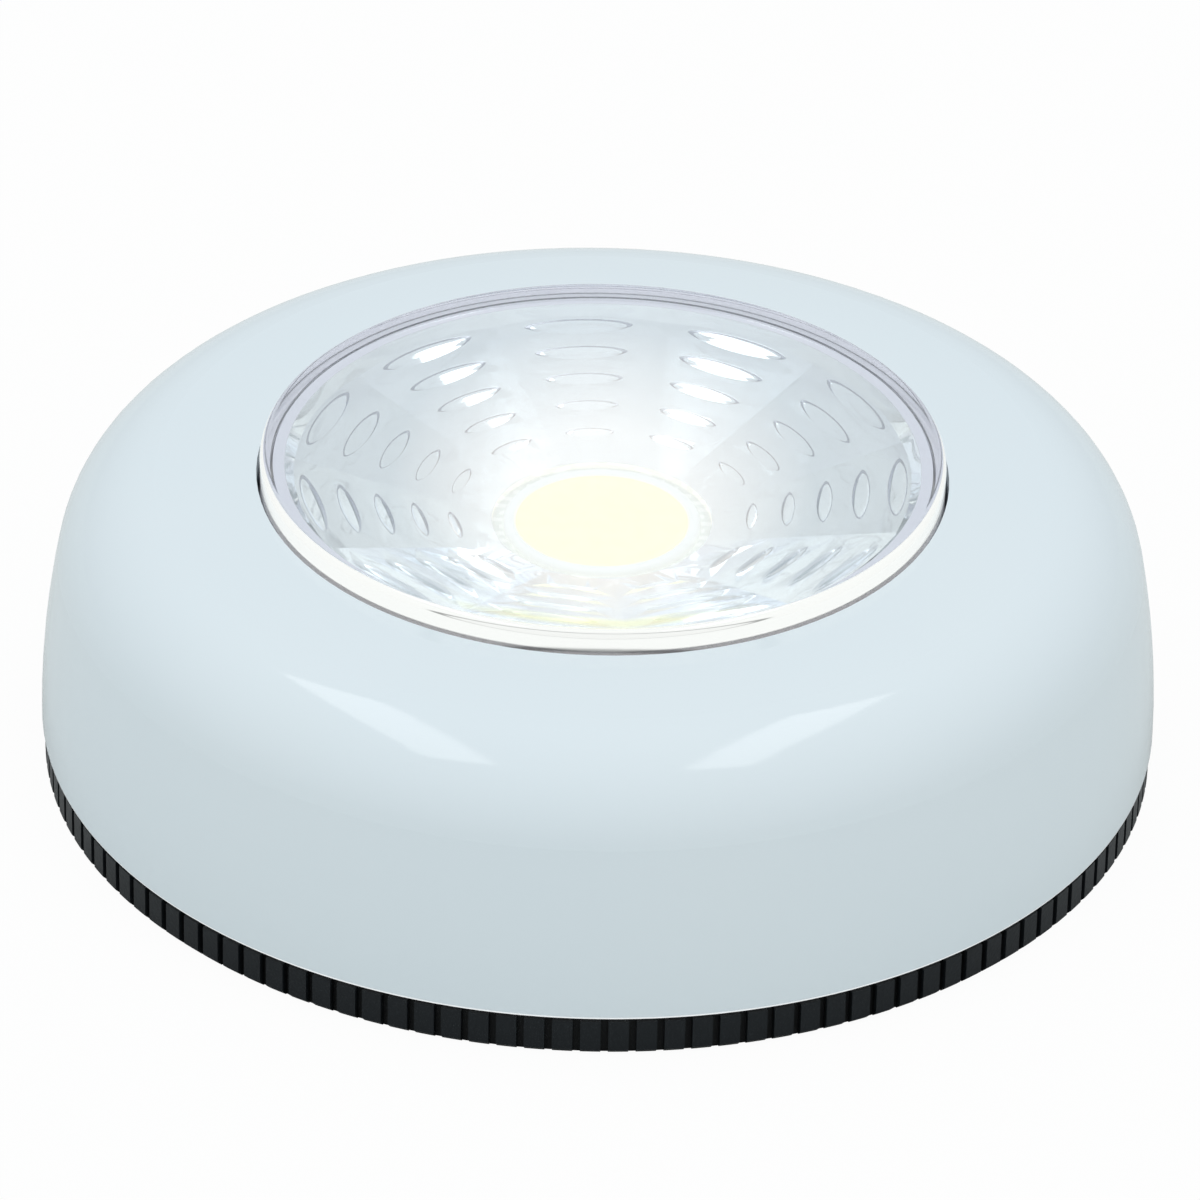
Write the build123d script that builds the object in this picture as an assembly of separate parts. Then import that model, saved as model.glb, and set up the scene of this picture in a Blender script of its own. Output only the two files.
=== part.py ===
"""Round push-on puck light.

A gloss housing turns and locks on a ribbed base that sticks to a wall or shelf.
A clear lens, its reflector and its light disc form one push button in the middle.
Three slim cells lie in a tray under the button.

Frame: millimetres, +Z up, origin at the middle of the underside.
"""
import os
from math import atan2, cos, pi, sin, sqrt

from build123d import *

# Cells: three slim ones side by side, which set the size of the whole light
cell_count = 3
cell_radius = 5.25
cell_length = 43.5
nub_radius = 1.9
nub_length = 1.0
cell_gap = 0.8
cell_lift = 0.3
cell_groove = 0.25
cell_groove_width = 0.6

# Base cover
base_floor = 1.8
base_inset = 0.2
base_rim_width = 3.4
base_rim_height = 2.9
rim_chamfer = 0.45
rib_count = 130
rib_gap_share = 0.27
rib_depth = 0.55
pad_margin = 8.3
pad_thickness = 0.6

# Bayonet between base and housing
lock_count = 3
lock_turn = 24.0
lug_sweep = 20.0
lug_end_play = 1.0
stop_sweep = 2.5
tab_wall = 1.3
tab_wall_gap = 0.25
lug_height = 1.2
ledge_height = 1.2
ledge_bottom = 5.4
ledge_reach = 0.9

# Housing
joint_gap = 0.25
wall = 1.8
side_lean = 1.4
shoulder_width = 7.3
shoulder_height = 6.65
deck_rise = 0.45
foot_round = 0.35
collar_wall = 1.2
boss_count = 4
boss_turn = 45.0
boss_radius = 3.0
boss_inset = 9.0
deck_rib_count = 8
deck_rib_turn = 22.5
deck_rib_thickness = 1.0
deck_rib_drop = 3.2

# Push button: lens, reflector, light disc and their carrier
button_travel = 1.5
press_room = 0.3
lens_proud = 1.9
lens_gap = 0.25
lens_plate = 2.7
lens_crown = 0.1
lens_round = 0.6
lens_skirt = 0.8
lens_skirt_drop = 0.4
stop_gap = 0.1
flange_margin = 0.45
flange_grip = 0.6
carrier_floor = 0.8
opening_margin = 0.55
seat_gap = 0.2

# Light disc
led_board_gap = 0.3
led_board_thickness = 1.6
led_radius = 6.5
led_fill = 0.4
led_dam_width = 1.0
led_dam_height = 0.55

# Reflector bowl
sector_count = 11
sector_turn = 5.5
bowl_hole_radius = 8.3
bowl_lip = 0.5
bowl_depth = 4.3
bowl_edge_rise = 0.7
bowl_edge_width = 0.7
bowl_flange_width = 0.9
bowl_skin = 1.1
bowl_flange_drop = 1.9
row_count = 5
row_inner_margin = 3.05
row_outer_margin = 1.15
pocket_length_share = 0.74
pocket_width = 1.7
pocket_taper = 0.1
pocket_depth = 0.2
pocket_tilt = 10.0

# Tray
cell_side_gap = 0.3
cell_top_gap = 0.1
tray_plate = 0.8
tray_edge_gap = 0.5
bay_wall = 1.2
bay_wall_lift = 0.6
divider_thickness = 1.0
divider_drop = 2.4
divider_end_gap = 3.0

# Contacts
plate_thickness = 0.4
plate_side_margin = 1.05
plate_edge_margin = 1.25
plate_seat = 0.05
tab_half_width = 1.2
tab_length = 3.2
tab_drop = 1.8
tab_slot_gap = 0.15
contact_length = 4.6
contact_wire = 0.5
contact_turns = 3
contact_base_radius = 3.2
contact_tip_radius = 1.5
contact_gap = 0.05

# Guide posts and return springs
post_radius = 1.2
post_fit = 0.08
post_length = 9.5
cup_inner_radius = 2.5
cup_wall = 0.7
cup_depth = 6.7
cup_floor = 0.8
cup_bay_gap = 0.95
cup_switch_gap = 2.8
spring_wire = 0.5
spring_radius = 1.85
spring_turns = 5
spring_gap = 0.04

# Switch and its board
switch_width = 7.0
switch_height = 6.0
switch_neck = 4.6
switch_neck_height = 1.0
switch_neck_drop = 0.5
switch_bore = 2.9
switch_floor = 1.0
plunger_width = 2.7
plunger_gap = 0.05
plunger_round = 0.4
board_thickness = 1.0
board_bay_gap = 0.35
board_width = 11.0
board_post_radius = 1.4
board_post_gap = 2.4
board_post_inset = 2.1
board_end_margin = 2.3
neck_hole_gap = 0.5

# Screws
screw_fit = 0.02
tray_screw_radius = 1.0
tray_screw_length = 6.0
tray_screw_head_radius = 2.1
tray_screw_head_height = 1.2
board_screw_radius = 0.6
board_screw_length = 4.0
board_screw_head_radius = 1.3
board_screw_head_height = 0.8
drive_share = 0.45
drive_depth_share = 0.5

# Wires
wire_radius = 0.5
wire_bend = 2.0
wire_straight = 0.5
wire_side_room = 5.9
lead_hole_width = 2.0
lead_hole_length = 6.0
lead_board_inset = 0.95
lead_switch_gap = 0.65
lead_y = 1.3
lead_bow = 0.7
lead_bend = 2.5

# Depth that every cut runs past the face it starts from
overrun = 1.0

# Plan of the tray, worked out from the cells
cell_pitch = 2 * cell_radius + cell_gap
plate_face = (cell_length + nub_length + contact_length) / 2
bay_half_length = plate_face + plate_thickness + plate_seat
bay_half_width = cell_pitch * (cell_count - 1) / 2 + cell_radius + cell_side_gap
bay_outer_width = bay_half_width + bay_wall
bay_outer_length = bay_half_length + bay_wall
tab_end = bay_half_length - plate_seat + tab_length
board_start = bay_outer_width + board_bay_gap
lead_x = board_start + lead_board_inset
switch_x = lead_x + wire_radius + lead_switch_gap + switch_width / 2
board_post_x = switch_x + switch_width / 2 + board_post_gap
board_post_y = board_width / 2 - board_post_inset
cup_outer_radius = cup_inner_radius + cup_wall
post_x = bay_outer_width + cup_bay_gap + cup_outer_radius
post_y = switch_width / 2 + cup_switch_gap + cup_outer_radius

# Radii of the button, the housing and the base, worked out from that plan
carrier_flange_radius = sqrt(post_x**2 + post_y**2) + spring_radius + spring_wire / 2 + flange_margin
carrier_opening = lead_x + wire_radius + opening_margin
lens_hole_radius = carrier_flange_radius - flange_grip
lens_radius = lens_hole_radius - lens_gap
skirt_inner_radius = lens_radius - lens_skirt
inset_radius = skirt_inner_radius - seat_gap
led_board_radius = skirt_inner_radius - led_board_gap
bowl_edge_radius = inset_radius - bowl_flange_width
bowl_facet_radius = bowl_edge_radius - bowl_edge_width
wire_corner_x = bay_outer_width + wire_bend
wire_corner_y = tab_end + wire_bend + wire_straight
housing_radius = sqrt(wire_corner_x**2 + wire_corner_y**2) + wire_side_room
boss_place_radius = housing_radius - boss_inset
base_radius = housing_radius - base_inset
pad_radius = base_radius - pad_margin

# Heights, from the floor up
housing_foot = base_rim_height + joint_gap
cell_axis_z = base_floor + cell_lift + cell_radius
tray_bottom = cell_axis_z + cell_radius + cell_top_gap
tray_top = tray_bottom + tray_plate
tab_z = tray_bottom - tab_drop
cup_bottom = tray_top - cup_depth
board_top = tray_top - switch_neck_drop - switch_neck_height - switch_height
board_bottom = board_top - board_thickness
carrier_bottom = tray_top + press_room + button_travel
carrier_top = carrier_bottom + carrier_floor
led_board_top = carrier_top + led_board_thickness
bowl_hole_z = led_board_top + bowl_lip
bowl_rim_z = bowl_hole_z + bowl_depth
lens_under = bowl_rim_z + bowl_edge_rise
skirt_bottom = lens_under - lens_skirt_drop
overall_height = lens_under + lens_plate
deck_z = overall_height - lens_proud
deck_edge_z = deck_z - deck_rise
shoulder_z = deck_edge_z - shoulder_height
deck_edge_radius = housing_radius - side_lean - shoulder_width


def turned(section):
    """Full turn of a section drawn with x as radius and y as height."""
    return revolve(Plane.XZ * section, Axis.Z)


def ring(inner, outer, bottom, top):
    """Plain ring round the middle axis."""
    width = outer - inner
    height = top - bottom
    return turned(Pos(inner + width / 2, bottom + height / 2) * Rectangle(width, height))


def ring_part(inner, outer, bottom, top, middle_angle, sweep):
    """Stretch of a ring, centred on an angle in degrees."""
    width = outer - inner
    height = top - bottom
    section = Plane.XZ * (Pos(inner + width / 2, bottom + height / 2) * Rectangle(width, height))
    return Rot(0, 0, middle_angle - sweep / 2) * revolve(section, Axis.Z, revolution_arc=sweep)


def disc(radius, bottom, top, x=0, y=0):
    """Upright round bar."""
    return Pos(x, y, bottom) * extrude(Circle(radius), top - bottom)


def block(x_low, x_high, y_low, y_high, bottom, top):
    """Square block between its low and high sides."""
    middle = Pos((x_low + x_high) / 2, (y_low + y_high) / 2, bottom)
    plan = middle * Rectangle(x_high - x_low, y_high - y_low)
    return extrude(plan, top - bottom)


def even_angles(count, first=0):
    """Angles in degrees, evenly spaced round the axis."""
    return [first + 360 * index / count for index in range(count)]


def save(name, *solids):
    """Write one node, which may be a group of separate solids."""
    shape = solids[0] if len(solids) == 1 else Compound(children=list(solids))
    export_step(shape, f"parts/{name}.step")


# Base cover: a ribbed disc with three hooked tabs

def rib_band(bottom, top):
    """The knurled rim: flat-topped ribs with narrow upright gaps between them."""
    pitch = 2 * pi * base_radius / rib_count
    gap = Rectangle(2 * rib_depth, pitch * rib_gap_share)
    plan = Circle(base_radius) - PolarLocations(base_radius, rib_count) * gap
    return Pos(0, 0, bottom) * extrude(plan, top - bottom)


def lug_angles():
    """Middle of each lug when the light is locked."""
    return even_angles(lock_count)


def base_cover():
    """Ribbed floor with a raised rim and three bayonet tabs."""
    rim_inner = base_radius - base_rim_width
    band = rib_band(0, base_rim_height)
    foot = base_radius - rim_chamfer
    outline = Polyline(
        (0, 0),
        (foot, 0),
        (base_radius, rim_chamfer),
        (base_radius, base_rim_height),
        (0, base_rim_height),
        close=True,
    )
    cover = band & turned(make_face(outline))
    cover -= disc(rim_inner, base_floor, base_rim_height + overrun)
    cover -= disc(pad_radius, -overrun, pad_thickness)
    wall_outer = housing_radius - wall - ledge_reach - tab_wall_gap
    lug_bottom = ledge_bottom + ledge_height + seat_gap
    lug_top = lug_bottom + lug_height
    lug_outer = housing_radius - wall - tab_wall_gap
    for angle in lug_angles():
        cover += ring_part(wall_outer - tab_wall, wall_outer, base_floor, lug_top, angle, lug_sweep)
        cover += ring_part(wall_outer - tab_wall, lug_outer, lug_bottom, lug_top, angle, lug_sweep)
    return cover


def adhesive_pad():
    """Foam disc that lies flush in the underside."""
    return disc(pad_radius - seat_gap, 0, pad_thickness)


# Housing: one moulded shell with its lens collar, ribs, bosses and bayonet ledges

def housing_edge(inset):
    """Outer line of the housing's section, from its foot up to the lens hole, moved in by inset."""
    shoulder_lean = 2 * atan2(side_lean, shoulder_z - housing_foot)
    deck_lean = 2 * atan2(shoulder_width, shoulder_height) - shoulder_lean
    shoulder_x = housing_radius - side_lean
    foot = (housing_radius - inset, housing_foot)
    shoulder = (shoulder_x - inset * cos(shoulder_lean), shoulder_z - inset * sin(shoulder_lean))
    deck_edge = (deck_edge_radius - inset * cos(deck_lean), deck_edge_z - inset * sin(deck_lean))
    hole_edge = (lens_hole_radius, deck_z - inset)
    side = TangentArc(foot, shoulder, tangent=(0, 1))
    round_over = TangentArc(shoulder, deck_edge, tangent=side % 1)
    deck = TangentArc(deck_edge, hole_edge, tangent=round_over % 1)
    return [side, round_over, deck]


def housing_solid(inset):
    """The housing as if it were filled, moved in by inset."""
    foot_line = Polyline(
        (lens_hole_radius, deck_z - inset),
        (0, deck_z - inset),
        (0, housing_foot),
        (housing_radius - inset, housing_foot),
    )
    return turned(make_face(housing_edge(inset) + [foot_line]))


def housing_shell():
    """Gloss housing with everything that is moulded onto its inside."""
    outside = housing_solid(0)
    outside = fillet(outside.edges().filter_by(GeomType.CIRCLE).group_by(Axis.Z)[0], foot_round)
    inside = housing_solid(wall)
    shell = outside - inside
    collar_bottom = carrier_top + stop_gap
    features = ring(lens_hole_radius, lens_hole_radius + collar_wall, collar_bottom, deck_z)
    for angle in even_angles(boss_count, boss_turn):
        features += Rot(0, 0, angle) * disc(boss_radius, tray_top, deck_z, boss_place_radius)
    for angle in even_angles(deck_rib_count, deck_rib_turn):
        rib = block(
            lens_hole_radius,
            housing_radius,
            -deck_rib_thickness / 2,
            deck_rib_thickness / 2,
            deck_edge_z - wall - deck_rib_drop,
            deck_z,
        )
        features += Rot(0, 0, angle) * rib
    shell += features & housing_solid(wall / 2)
    shell -= disc(lens_hole_radius, housing_foot, deck_z + overrun)
    for angle in even_angles(boss_count, boss_turn):
        bore_top = tray_top + tray_screw_length
        bore = disc(tray_screw_radius + screw_fit, tray_top - overrun, bore_top, boss_place_radius)
        shell -= Rot(0, 0, angle) * bore
    return shell + housing_ledges()


def housing_ledges():
    """Ledges that the base's lugs slide over, each with a stop at both ends of the turn."""
    inner = housing_radius - wall - ledge_reach
    outer = housing_radius - wall + ledge_reach
    ledge_top = ledge_bottom + ledge_height
    stop_top = ledge_top + seat_gap + lug_height
    half_lug = lug_sweep / 2
    ledges = None
    for angle in lug_angles():
        ledge = ring_part(inner, outer, ledge_bottom, ledge_top, angle, lug_sweep + 2 * lug_end_play)
        locked_stop = angle + half_lug + lug_end_play + stop_sweep / 2
        open_stop = angle - half_lug - lock_turn - lug_end_play - stop_sweep / 2
        for place in (locked_stop, open_stop):
            ledge += ring_part(inner, outer, ledge_bottom, stop_top, place, stop_sweep)
        ledges = ledge if ledges is None else ledges + ledge
    return ledges & housing_solid(wall / 2)


# Button: lens, reflector, light disc and carrier

def lens():
    """Clear cap: a thick slightly crowned plate with a short skirt that stands on the carrier."""
    edge_z = overall_height - lens_crown
    crown = ThreePointArc(
        (0, overall_height),
        (lens_radius / 2, overall_height - lens_crown / 4),
        (lens_radius, edge_z),
    )
    outline = Polyline(
        (lens_radius, edge_z),
        (lens_radius, skirt_bottom),
        (skirt_inner_radius, skirt_bottom),
        (skirt_inner_radius, lens_under),
        (0, lens_under),
        (0, overall_height),
    )
    section = make_face([crown, outline])
    top_corner = section.vertices().sort_by(lambda corner: corner.X + corner.Y)[-1]
    return turned(fillet(top_corner, lens_round))


def bowl_line():
    """Straight line up the middle of a reflector facet, from the hole to the smooth edge."""
    return Line((bowl_hole_radius, bowl_hole_z), (bowl_facet_radius, bowl_rim_z))


def bowl_space():
    """The space inside the reflector: one flat facet for each sector, and a smooth flared edge."""
    top = lens_under + overrun
    reach = bowl_facet_radius + overrun
    reach_z = bowl_rim_z + overrun * bowl_depth / (bowl_facet_radius - bowl_hole_radius)
    section = Polyline(
        (-reach, bowl_hole_z),
        (bowl_hole_radius, bowl_hole_z),
        (reach, reach_z),
        (reach, top),
        (-reach, top),
        close=True,
    )
    prism = extrude(Plane.XZ * make_face(section), 2 * reach, both=True)
    space = disc(bowl_facet_radius, bowl_hole_z - overrun, top)
    for angle in even_angles(sector_count):
        space &= Rot(0, 0, sector_turn + 90 + angle) * prism
    edge = Polyline(
        (0, bowl_rim_z),
        (bowl_facet_radius, bowl_rim_z),
        (bowl_edge_radius, lens_under),
        (bowl_edge_radius, top),
        (0, top),
        close=True,
    )
    return space + turned(make_face(edge))


def bowl_pockets():
    """Shallow round-ended pockets, in rows across each facet, with floors steeper than the facet."""
    line = bowl_line()
    first_radius = bowl_hole_radius + row_inner_margin
    row_pitch = (bowl_facet_radius - row_outer_margin - first_radius) / (row_count - 1)
    slope = line % 0
    cutters = []
    for row in range(row_count):
        radius = first_radius + row * row_pitch
        share = (radius - bowl_hole_radius) / (bowl_facet_radius - bowl_hole_radius)
        point = line @ share
        facet_width = 2 * point.X * sin(pi / sector_count)
        width = pocket_width - pocket_taper * (row_count - 1 - row)
        surface = Plane(
            origin=(point.X, 0, point.Y),
            x_dir=(0, 1, 0),
            z_dir=(-slope.Y, 0, slope.X),
        )
        floor = surface * Pos(0, 0, -pocket_depth) * Rot(-pocket_tilt, 0, 0)
        plan = floor * SlotOverall(facet_width * pocket_length_share, width)
        cutters.append(extrude(plan, overrun))
    return [
        Rot(0, 0, sector_turn + 90 + angle) * cutter
        for angle in even_angles(sector_count)
        for cutter in cutters
    ]


def reflector():
    """Faceted bowl with pocketed facets, standing on the light disc and carrying the lens plate."""
    collar_radius = bowl_hole_radius + bowl_skin
    outline = Polyline(
        (bowl_hole_radius, led_board_top),
        (collar_radius, led_board_top),
        (bowl_facet_radius, lens_under - bowl_flange_drop),
        (inset_radius, lens_under - bowl_flange_drop),
        (inset_radius, lens_under),
        (bowl_hole_radius, lens_under),
        close=True,
    )
    body = turned(make_face(outline))
    body -= bowl_space()
    return body - bowl_pockets()


def led_board():
    """Round metal-backed board."""
    return disc(led_board_radius, carrier_top, led_board_top)


def led_dam():
    """White ring round the light-giving fill."""
    return ring(led_radius, led_radius + led_dam_width, led_board_top, led_board_top + led_dam_height)


def led_disc():
    """Yellow fill over the light-giving chips."""
    return disc(led_radius, led_board_top, led_board_top + led_fill)


def post_places():
    """Where the guide posts and their springs stand."""
    return [(x_side * post_x, y_side * post_y) for x_side in (-1, 1) for y_side in (-1, 1)]


def button_carrier():
    """Ring with a wall that carries lens and board, and four guide posts under it."""
    carrier = ring(carrier_opening, carrier_flange_radius, carrier_bottom, carrier_top)
    carrier += ring(skirt_inner_radius, lens_radius, carrier_top, skirt_bottom)
    for x, y in post_places():
        carrier += disc(post_radius, carrier_bottom - post_length, carrier_bottom + carrier_floor / 2, x, y)
    return carrier


# Springs

def coil_path(start_radius, end_radius, height, turns):
    """A coil's centre line as pairs of arcs, one pair for each half turn."""
    step_count = 2 * turns

    def place(step):
        share = step / step_count
        angle = 2 * pi * turns * share
        radius = start_radius + (end_radius - start_radius) * share
        return Vector(radius * cos(angle), radius * sin(angle), height * share)

    def heading(step):
        share = step / step_count
        angle = 2 * pi * turns * share
        radius = start_radius + (end_radius - start_radius) * share
        narrowing = (end_radius - start_radius) / (2 * pi * turns)
        return Vector(
            narrowing * cos(angle) - radius * sin(angle),
            narrowing * sin(angle) + radius * cos(angle),
            height / (2 * pi * turns),
        ).normalized()

    arcs = []
    for step in range(step_count):
        start, end = place(step), place(step + 1)
        start_heading, end_heading = heading(step), heading(step + 1)
        chord = end - start
        both = start_heading + end_heading
        spread = 2 * (1 - start_heading.dot(end_heading))
        along = chord.dot(both)
        reach = (sqrt(along**2 + spread * chord.dot(chord)) - along) / spread
        middle = (start + end + (start_heading - end_heading) * reach) * 0.5
        first = TangentArc(start, middle, tangent=start_heading)
        second = TangentArc(middle, end, tangent=first % 1)
        arcs += [first, second]
    return Wire(arcs)


def least_gap(path, wire, turns):
    """Least gap between one turn of a coil and the next, measured on points of its centre line."""
    count = 16 * turns
    points = [path @ (index / count) for index in range(count + 1)]
    half_turn = count // (2 * turns)
    gaps = [
        (later - point).length
        for index, point in enumerate(points)
        for later in points[index + half_turn :]
    ]
    return min(gaps) - wire


def coil(start_radius, end_radius, wire, length, turns):
    """Open-ended coil spring standing on the ground plane, its wire inside the given length."""
    path = coil_path(start_radius, end_radius, length - wire, turns)
    print(f"coil of {turns} turns: least gap to itself {least_gap(path, wire, turns):.2f} mm")
    section = Plane(origin=path @ 0, z_dir=path % 0) * Circle(wire / 2)
    return Pos(0, 0, wire / 2) * sweep(section, path=path)


def return_springs():
    """Four springs that push the button up, one round each guide post."""
    floor = cup_bottom + cup_floor
    length = carrier_bottom - floor - 2 * spring_gap
    spring = coil(spring_radius, spring_radius, spring_wire, length, spring_turns)
    return [Pos(x, y, floor + spring_gap) * spring for x, y in post_places()]


# Cells and contacts

def cell_places():
    """Middle of each cell across the tray, with the side that its nub points to."""
    first = -cell_pitch * (cell_count - 1) / 2
    return [(first + index * cell_pitch, 1 if index % 2 == 0 else -1) for index in range(cell_count)]


def along_y(shape, side):
    """Lay an upright shape along Y, its top towards the given side."""
    return Rot(-90 * side, 0, 0) * shape


def cell(x, side):
    """Slim cell with a rolled groove near its nub."""
    body = disc(cell_radius, 0, cell_length)
    groove_z = cell_length - 2 * cell_groove_width
    body -= ring(cell_radius - cell_groove, cell_radius + overrun, groove_z - cell_groove_width, groove_z)
    body += disc(nub_radius, cell_length, cell_length + nub_length)
    start = plate_face - nub_length - cell_length
    return Pos(x, side * start, cell_axis_z) * along_y(body, side)


def contact_plate(x_low, x_high, side):
    """Sprung metal plate at one end of the bay."""
    outer = side * (bay_half_length - plate_seat)
    inner = outer - side * plate_thickness
    low, high = sorted((inner, outer))
    reach = cell_radius - plate_edge_margin
    return block(x_low, x_high, low, high, cell_axis_z - reach, cell_axis_z + reach)


def terminal(x, side):
    """End plate with a tab that reaches out through the bay's wall for a wire."""
    half = cell_radius - plate_side_margin
    plate = contact_plate(x - half, x + half, side)
    low, high = sorted((side * (plate_face + plate_thickness / 2), side * tab_end))
    return plate + block(
        x - tab_half_width,
        x + tab_half_width,
        low,
        high,
        tab_z - plate_thickness,
        tab_z,
    )


def contact_springs():
    """Cone springs that press on the flat end of each cell."""
    length = contact_length - 2 * contact_gap
    cone = coil(contact_base_radius, contact_tip_radius, contact_wire, length, contact_turns)
    springs = []
    for x, side in cell_places():
        springs.append(Pos(x, -side * (plate_face - contact_gap), cell_axis_z) * along_y(cone, side))
    return springs


# Tray

def battery_tray():
    """Plate across the housing with the cell bay, spring cups and board posts hanging from it."""
    tray = disc(housing_radius - wall - side_lean - tray_edge_gap, tray_bottom, tray_top)
    bay_bottom = base_floor + bay_wall_lift
    bay = block(
        -bay_outer_width,
        bay_outer_width,
        -bay_outer_length,
        bay_outer_length,
        bay_bottom,
        tray_bottom,
    )
    bay -= block(
        -bay_half_width,
        bay_half_width,
        -bay_half_length,
        bay_half_length,
        bay_bottom - overrun,
        tray_bottom + overrun,
    )
    tray += bay
    divider_half = bay_half_length - divider_end_gap
    for x in (-cell_pitch / 2, cell_pitch / 2):
        half = divider_thickness / 2
        divider_bottom = tray_bottom - divider_drop
        tray += block(x - half, x + half, -divider_half, divider_half, divider_bottom, tray_bottom)
    for x, y in post_places():
        tray += disc(cup_outer_radius, cup_bottom, tray_top, x, y)
        tray -= disc(cup_inner_radius, cup_bottom + cup_floor, tray_top + overrun, x, y)
        tray -= disc(post_radius + post_fit, cup_bottom - overrun, tray_top, x, y)
    for side in (-1, 1):
        y = side * board_post_y
        bore_top = board_bottom + board_screw_length
        tray += disc(board_post_radius, board_top, tray_bottom, board_post_x, y)
        tray -= disc(board_screw_radius + screw_fit, board_top - overrun, bore_top, board_post_x, y)
    neck_half = switch_neck / 2 + neck_hole_gap
    tray -= block(
        switch_x - neck_half,
        switch_x + neck_half,
        -neck_half,
        neck_half,
        tray_bottom - overrun,
        tray_top + overrun,
    )
    tray -= block(
        lead_x - lead_hole_width / 2,
        lead_x + lead_hole_width / 2,
        -lead_hole_length / 2,
        lead_hole_length / 2,
        tray_bottom - overrun,
        tray_top + overrun,
    )
    for angle in even_angles(boss_count, boss_turn):
        hole_radius = tray_screw_radius + screw_fit
        hole = disc(hole_radius, tray_bottom - overrun, tray_top + overrun, boss_place_radius)
        tray -= Rot(0, 0, angle) * hole
    places = cell_places()
    for x, side in (places[0], (places[-1][0], -places[-1][1])):
        low, high = sorted((side * (bay_half_length - overrun), side * (bay_outer_length + overrun)))
        half = tab_half_width + tab_slot_gap
        tray -= block(x - half, x + half, low, high, bay_bottom - overrun, tab_z + tab_slot_gap)
    return tray


# Switch

def switch_board():
    """Small board under the tray that carries the switch."""
    board_end = board_post_x + board_end_margin
    board = block(board_start, board_end, -board_width / 2, board_width / 2, board_bottom, board_top)
    for side in (-1, 1):
        hole_radius = board_screw_radius + screw_fit
        y = side * board_post_y
        board -= disc(hole_radius, board_bottom - overrun, board_top + overrun, board_post_x, y)
    return board


def switch_case():
    """Push switch: a square case with a square neck, hollow for its plunger."""
    half = switch_width / 2
    case_top = board_top + switch_height
    case = block(switch_x - half, switch_x + half, -half, half, board_top, case_top)
    neck = switch_neck / 2
    case += block(switch_x - neck, switch_x + neck, -neck, neck, case_top, case_top + switch_neck_height)
    bore = switch_bore / 2
    bore_top = case_top + switch_neck_height + overrun
    return case - block(switch_x - bore, switch_x + bore, -bore, bore, board_top + switch_floor, bore_top)


def switch_plunger():
    """Square plunger with a rounded top that the button's carrier rests on."""
    half = plunger_width / 2
    bottom = board_top + switch_floor + button_travel + seat_gap
    plunger = block(switch_x - half, switch_x + half, -half, half, bottom, carrier_bottom - plunger_gap)
    return fillet(plunger.edges().group_by(Axis.Z)[-1], plunger_round)


# Screws

def screw(radius, length, head_radius, head_height):
    """Screw standing head down, its shank starting at height zero."""
    shank = disc(radius, 0, length)
    head = disc(head_radius, -head_height, 0)
    head = chamfer(head.edges().group_by(Axis.Z)[0], head_height / 3)
    arm = head_radius * drive_share
    depth = head_height * drive_depth_share
    for turn in (0, 90):
        slot = block(-arm, arm, -arm / 3, arm / 3, -head_height - overrun, depth - head_height)
        head -= Rot(0, 0, turn) * slot
    return shank + head


def tray_screws():
    """Four screws that hold the tray up against the housing's bosses."""
    length = tray_plate + tray_screw_length
    one = screw(tray_screw_radius, length, tray_screw_head_radius, tray_screw_head_height)
    return [
        Rot(0, 0, angle) * Pos(boss_place_radius, 0, tray_bottom) * one
        for angle in even_angles(boss_count, boss_turn)
    ]


def board_screws():
    """Two screws that hold the switch board to the tray's posts."""
    one = screw(board_screw_radius, board_screw_length, board_screw_head_radius, board_screw_head_height)
    return [Pos(board_post_x, side * board_post_y, board_bottom) * one for side in (-1, 1)]


# Wires

def wire_along(points, bend):
    """Round wire along straight runs joined by arcs."""
    path = FilletPolyline(*points, radius=bend)
    section = Plane(origin=path @ 0, z_dir=path % 0) * Circle(wire_radius)
    return sweep(section, path=path)


def battery_wire(side):
    """Wire from an end terminal round the bay to the switch board."""
    x = -side * cell_pitch
    z = tab_z - plate_thickness / 2
    corner_y = side * wire_corner_y
    board_x = board_post_x - board_post_radius
    board_y = side * (board_width / 2 - wire_radius)
    points = [
        (x, side * tab_end, z),
        (x, corner_y, z),
        (wire_corner_x, corner_y, z),
        (board_x, side * 2 * board_width, z),
        (board_x, board_y, z),
        (board_x, board_y, board_top),
    ]
    return wire_along(points, wire_bend)


def lead(side):
    """Wire from the switch board up to the light disc's underside, bowed so that it can give."""
    y = side * lead_y
    low = board_top
    high = carrier_top
    rise = high - low
    points = [
        (lead_x, y, low),
        (lead_x, y, low + rise / 4),
        (lead_x, y + side * lead_bow, low + rise / 2),
        (lead_x, y, high - rise / 4),
        (lead_x, y, high),
    ]
    return wire_along(points, lead_bend)


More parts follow.
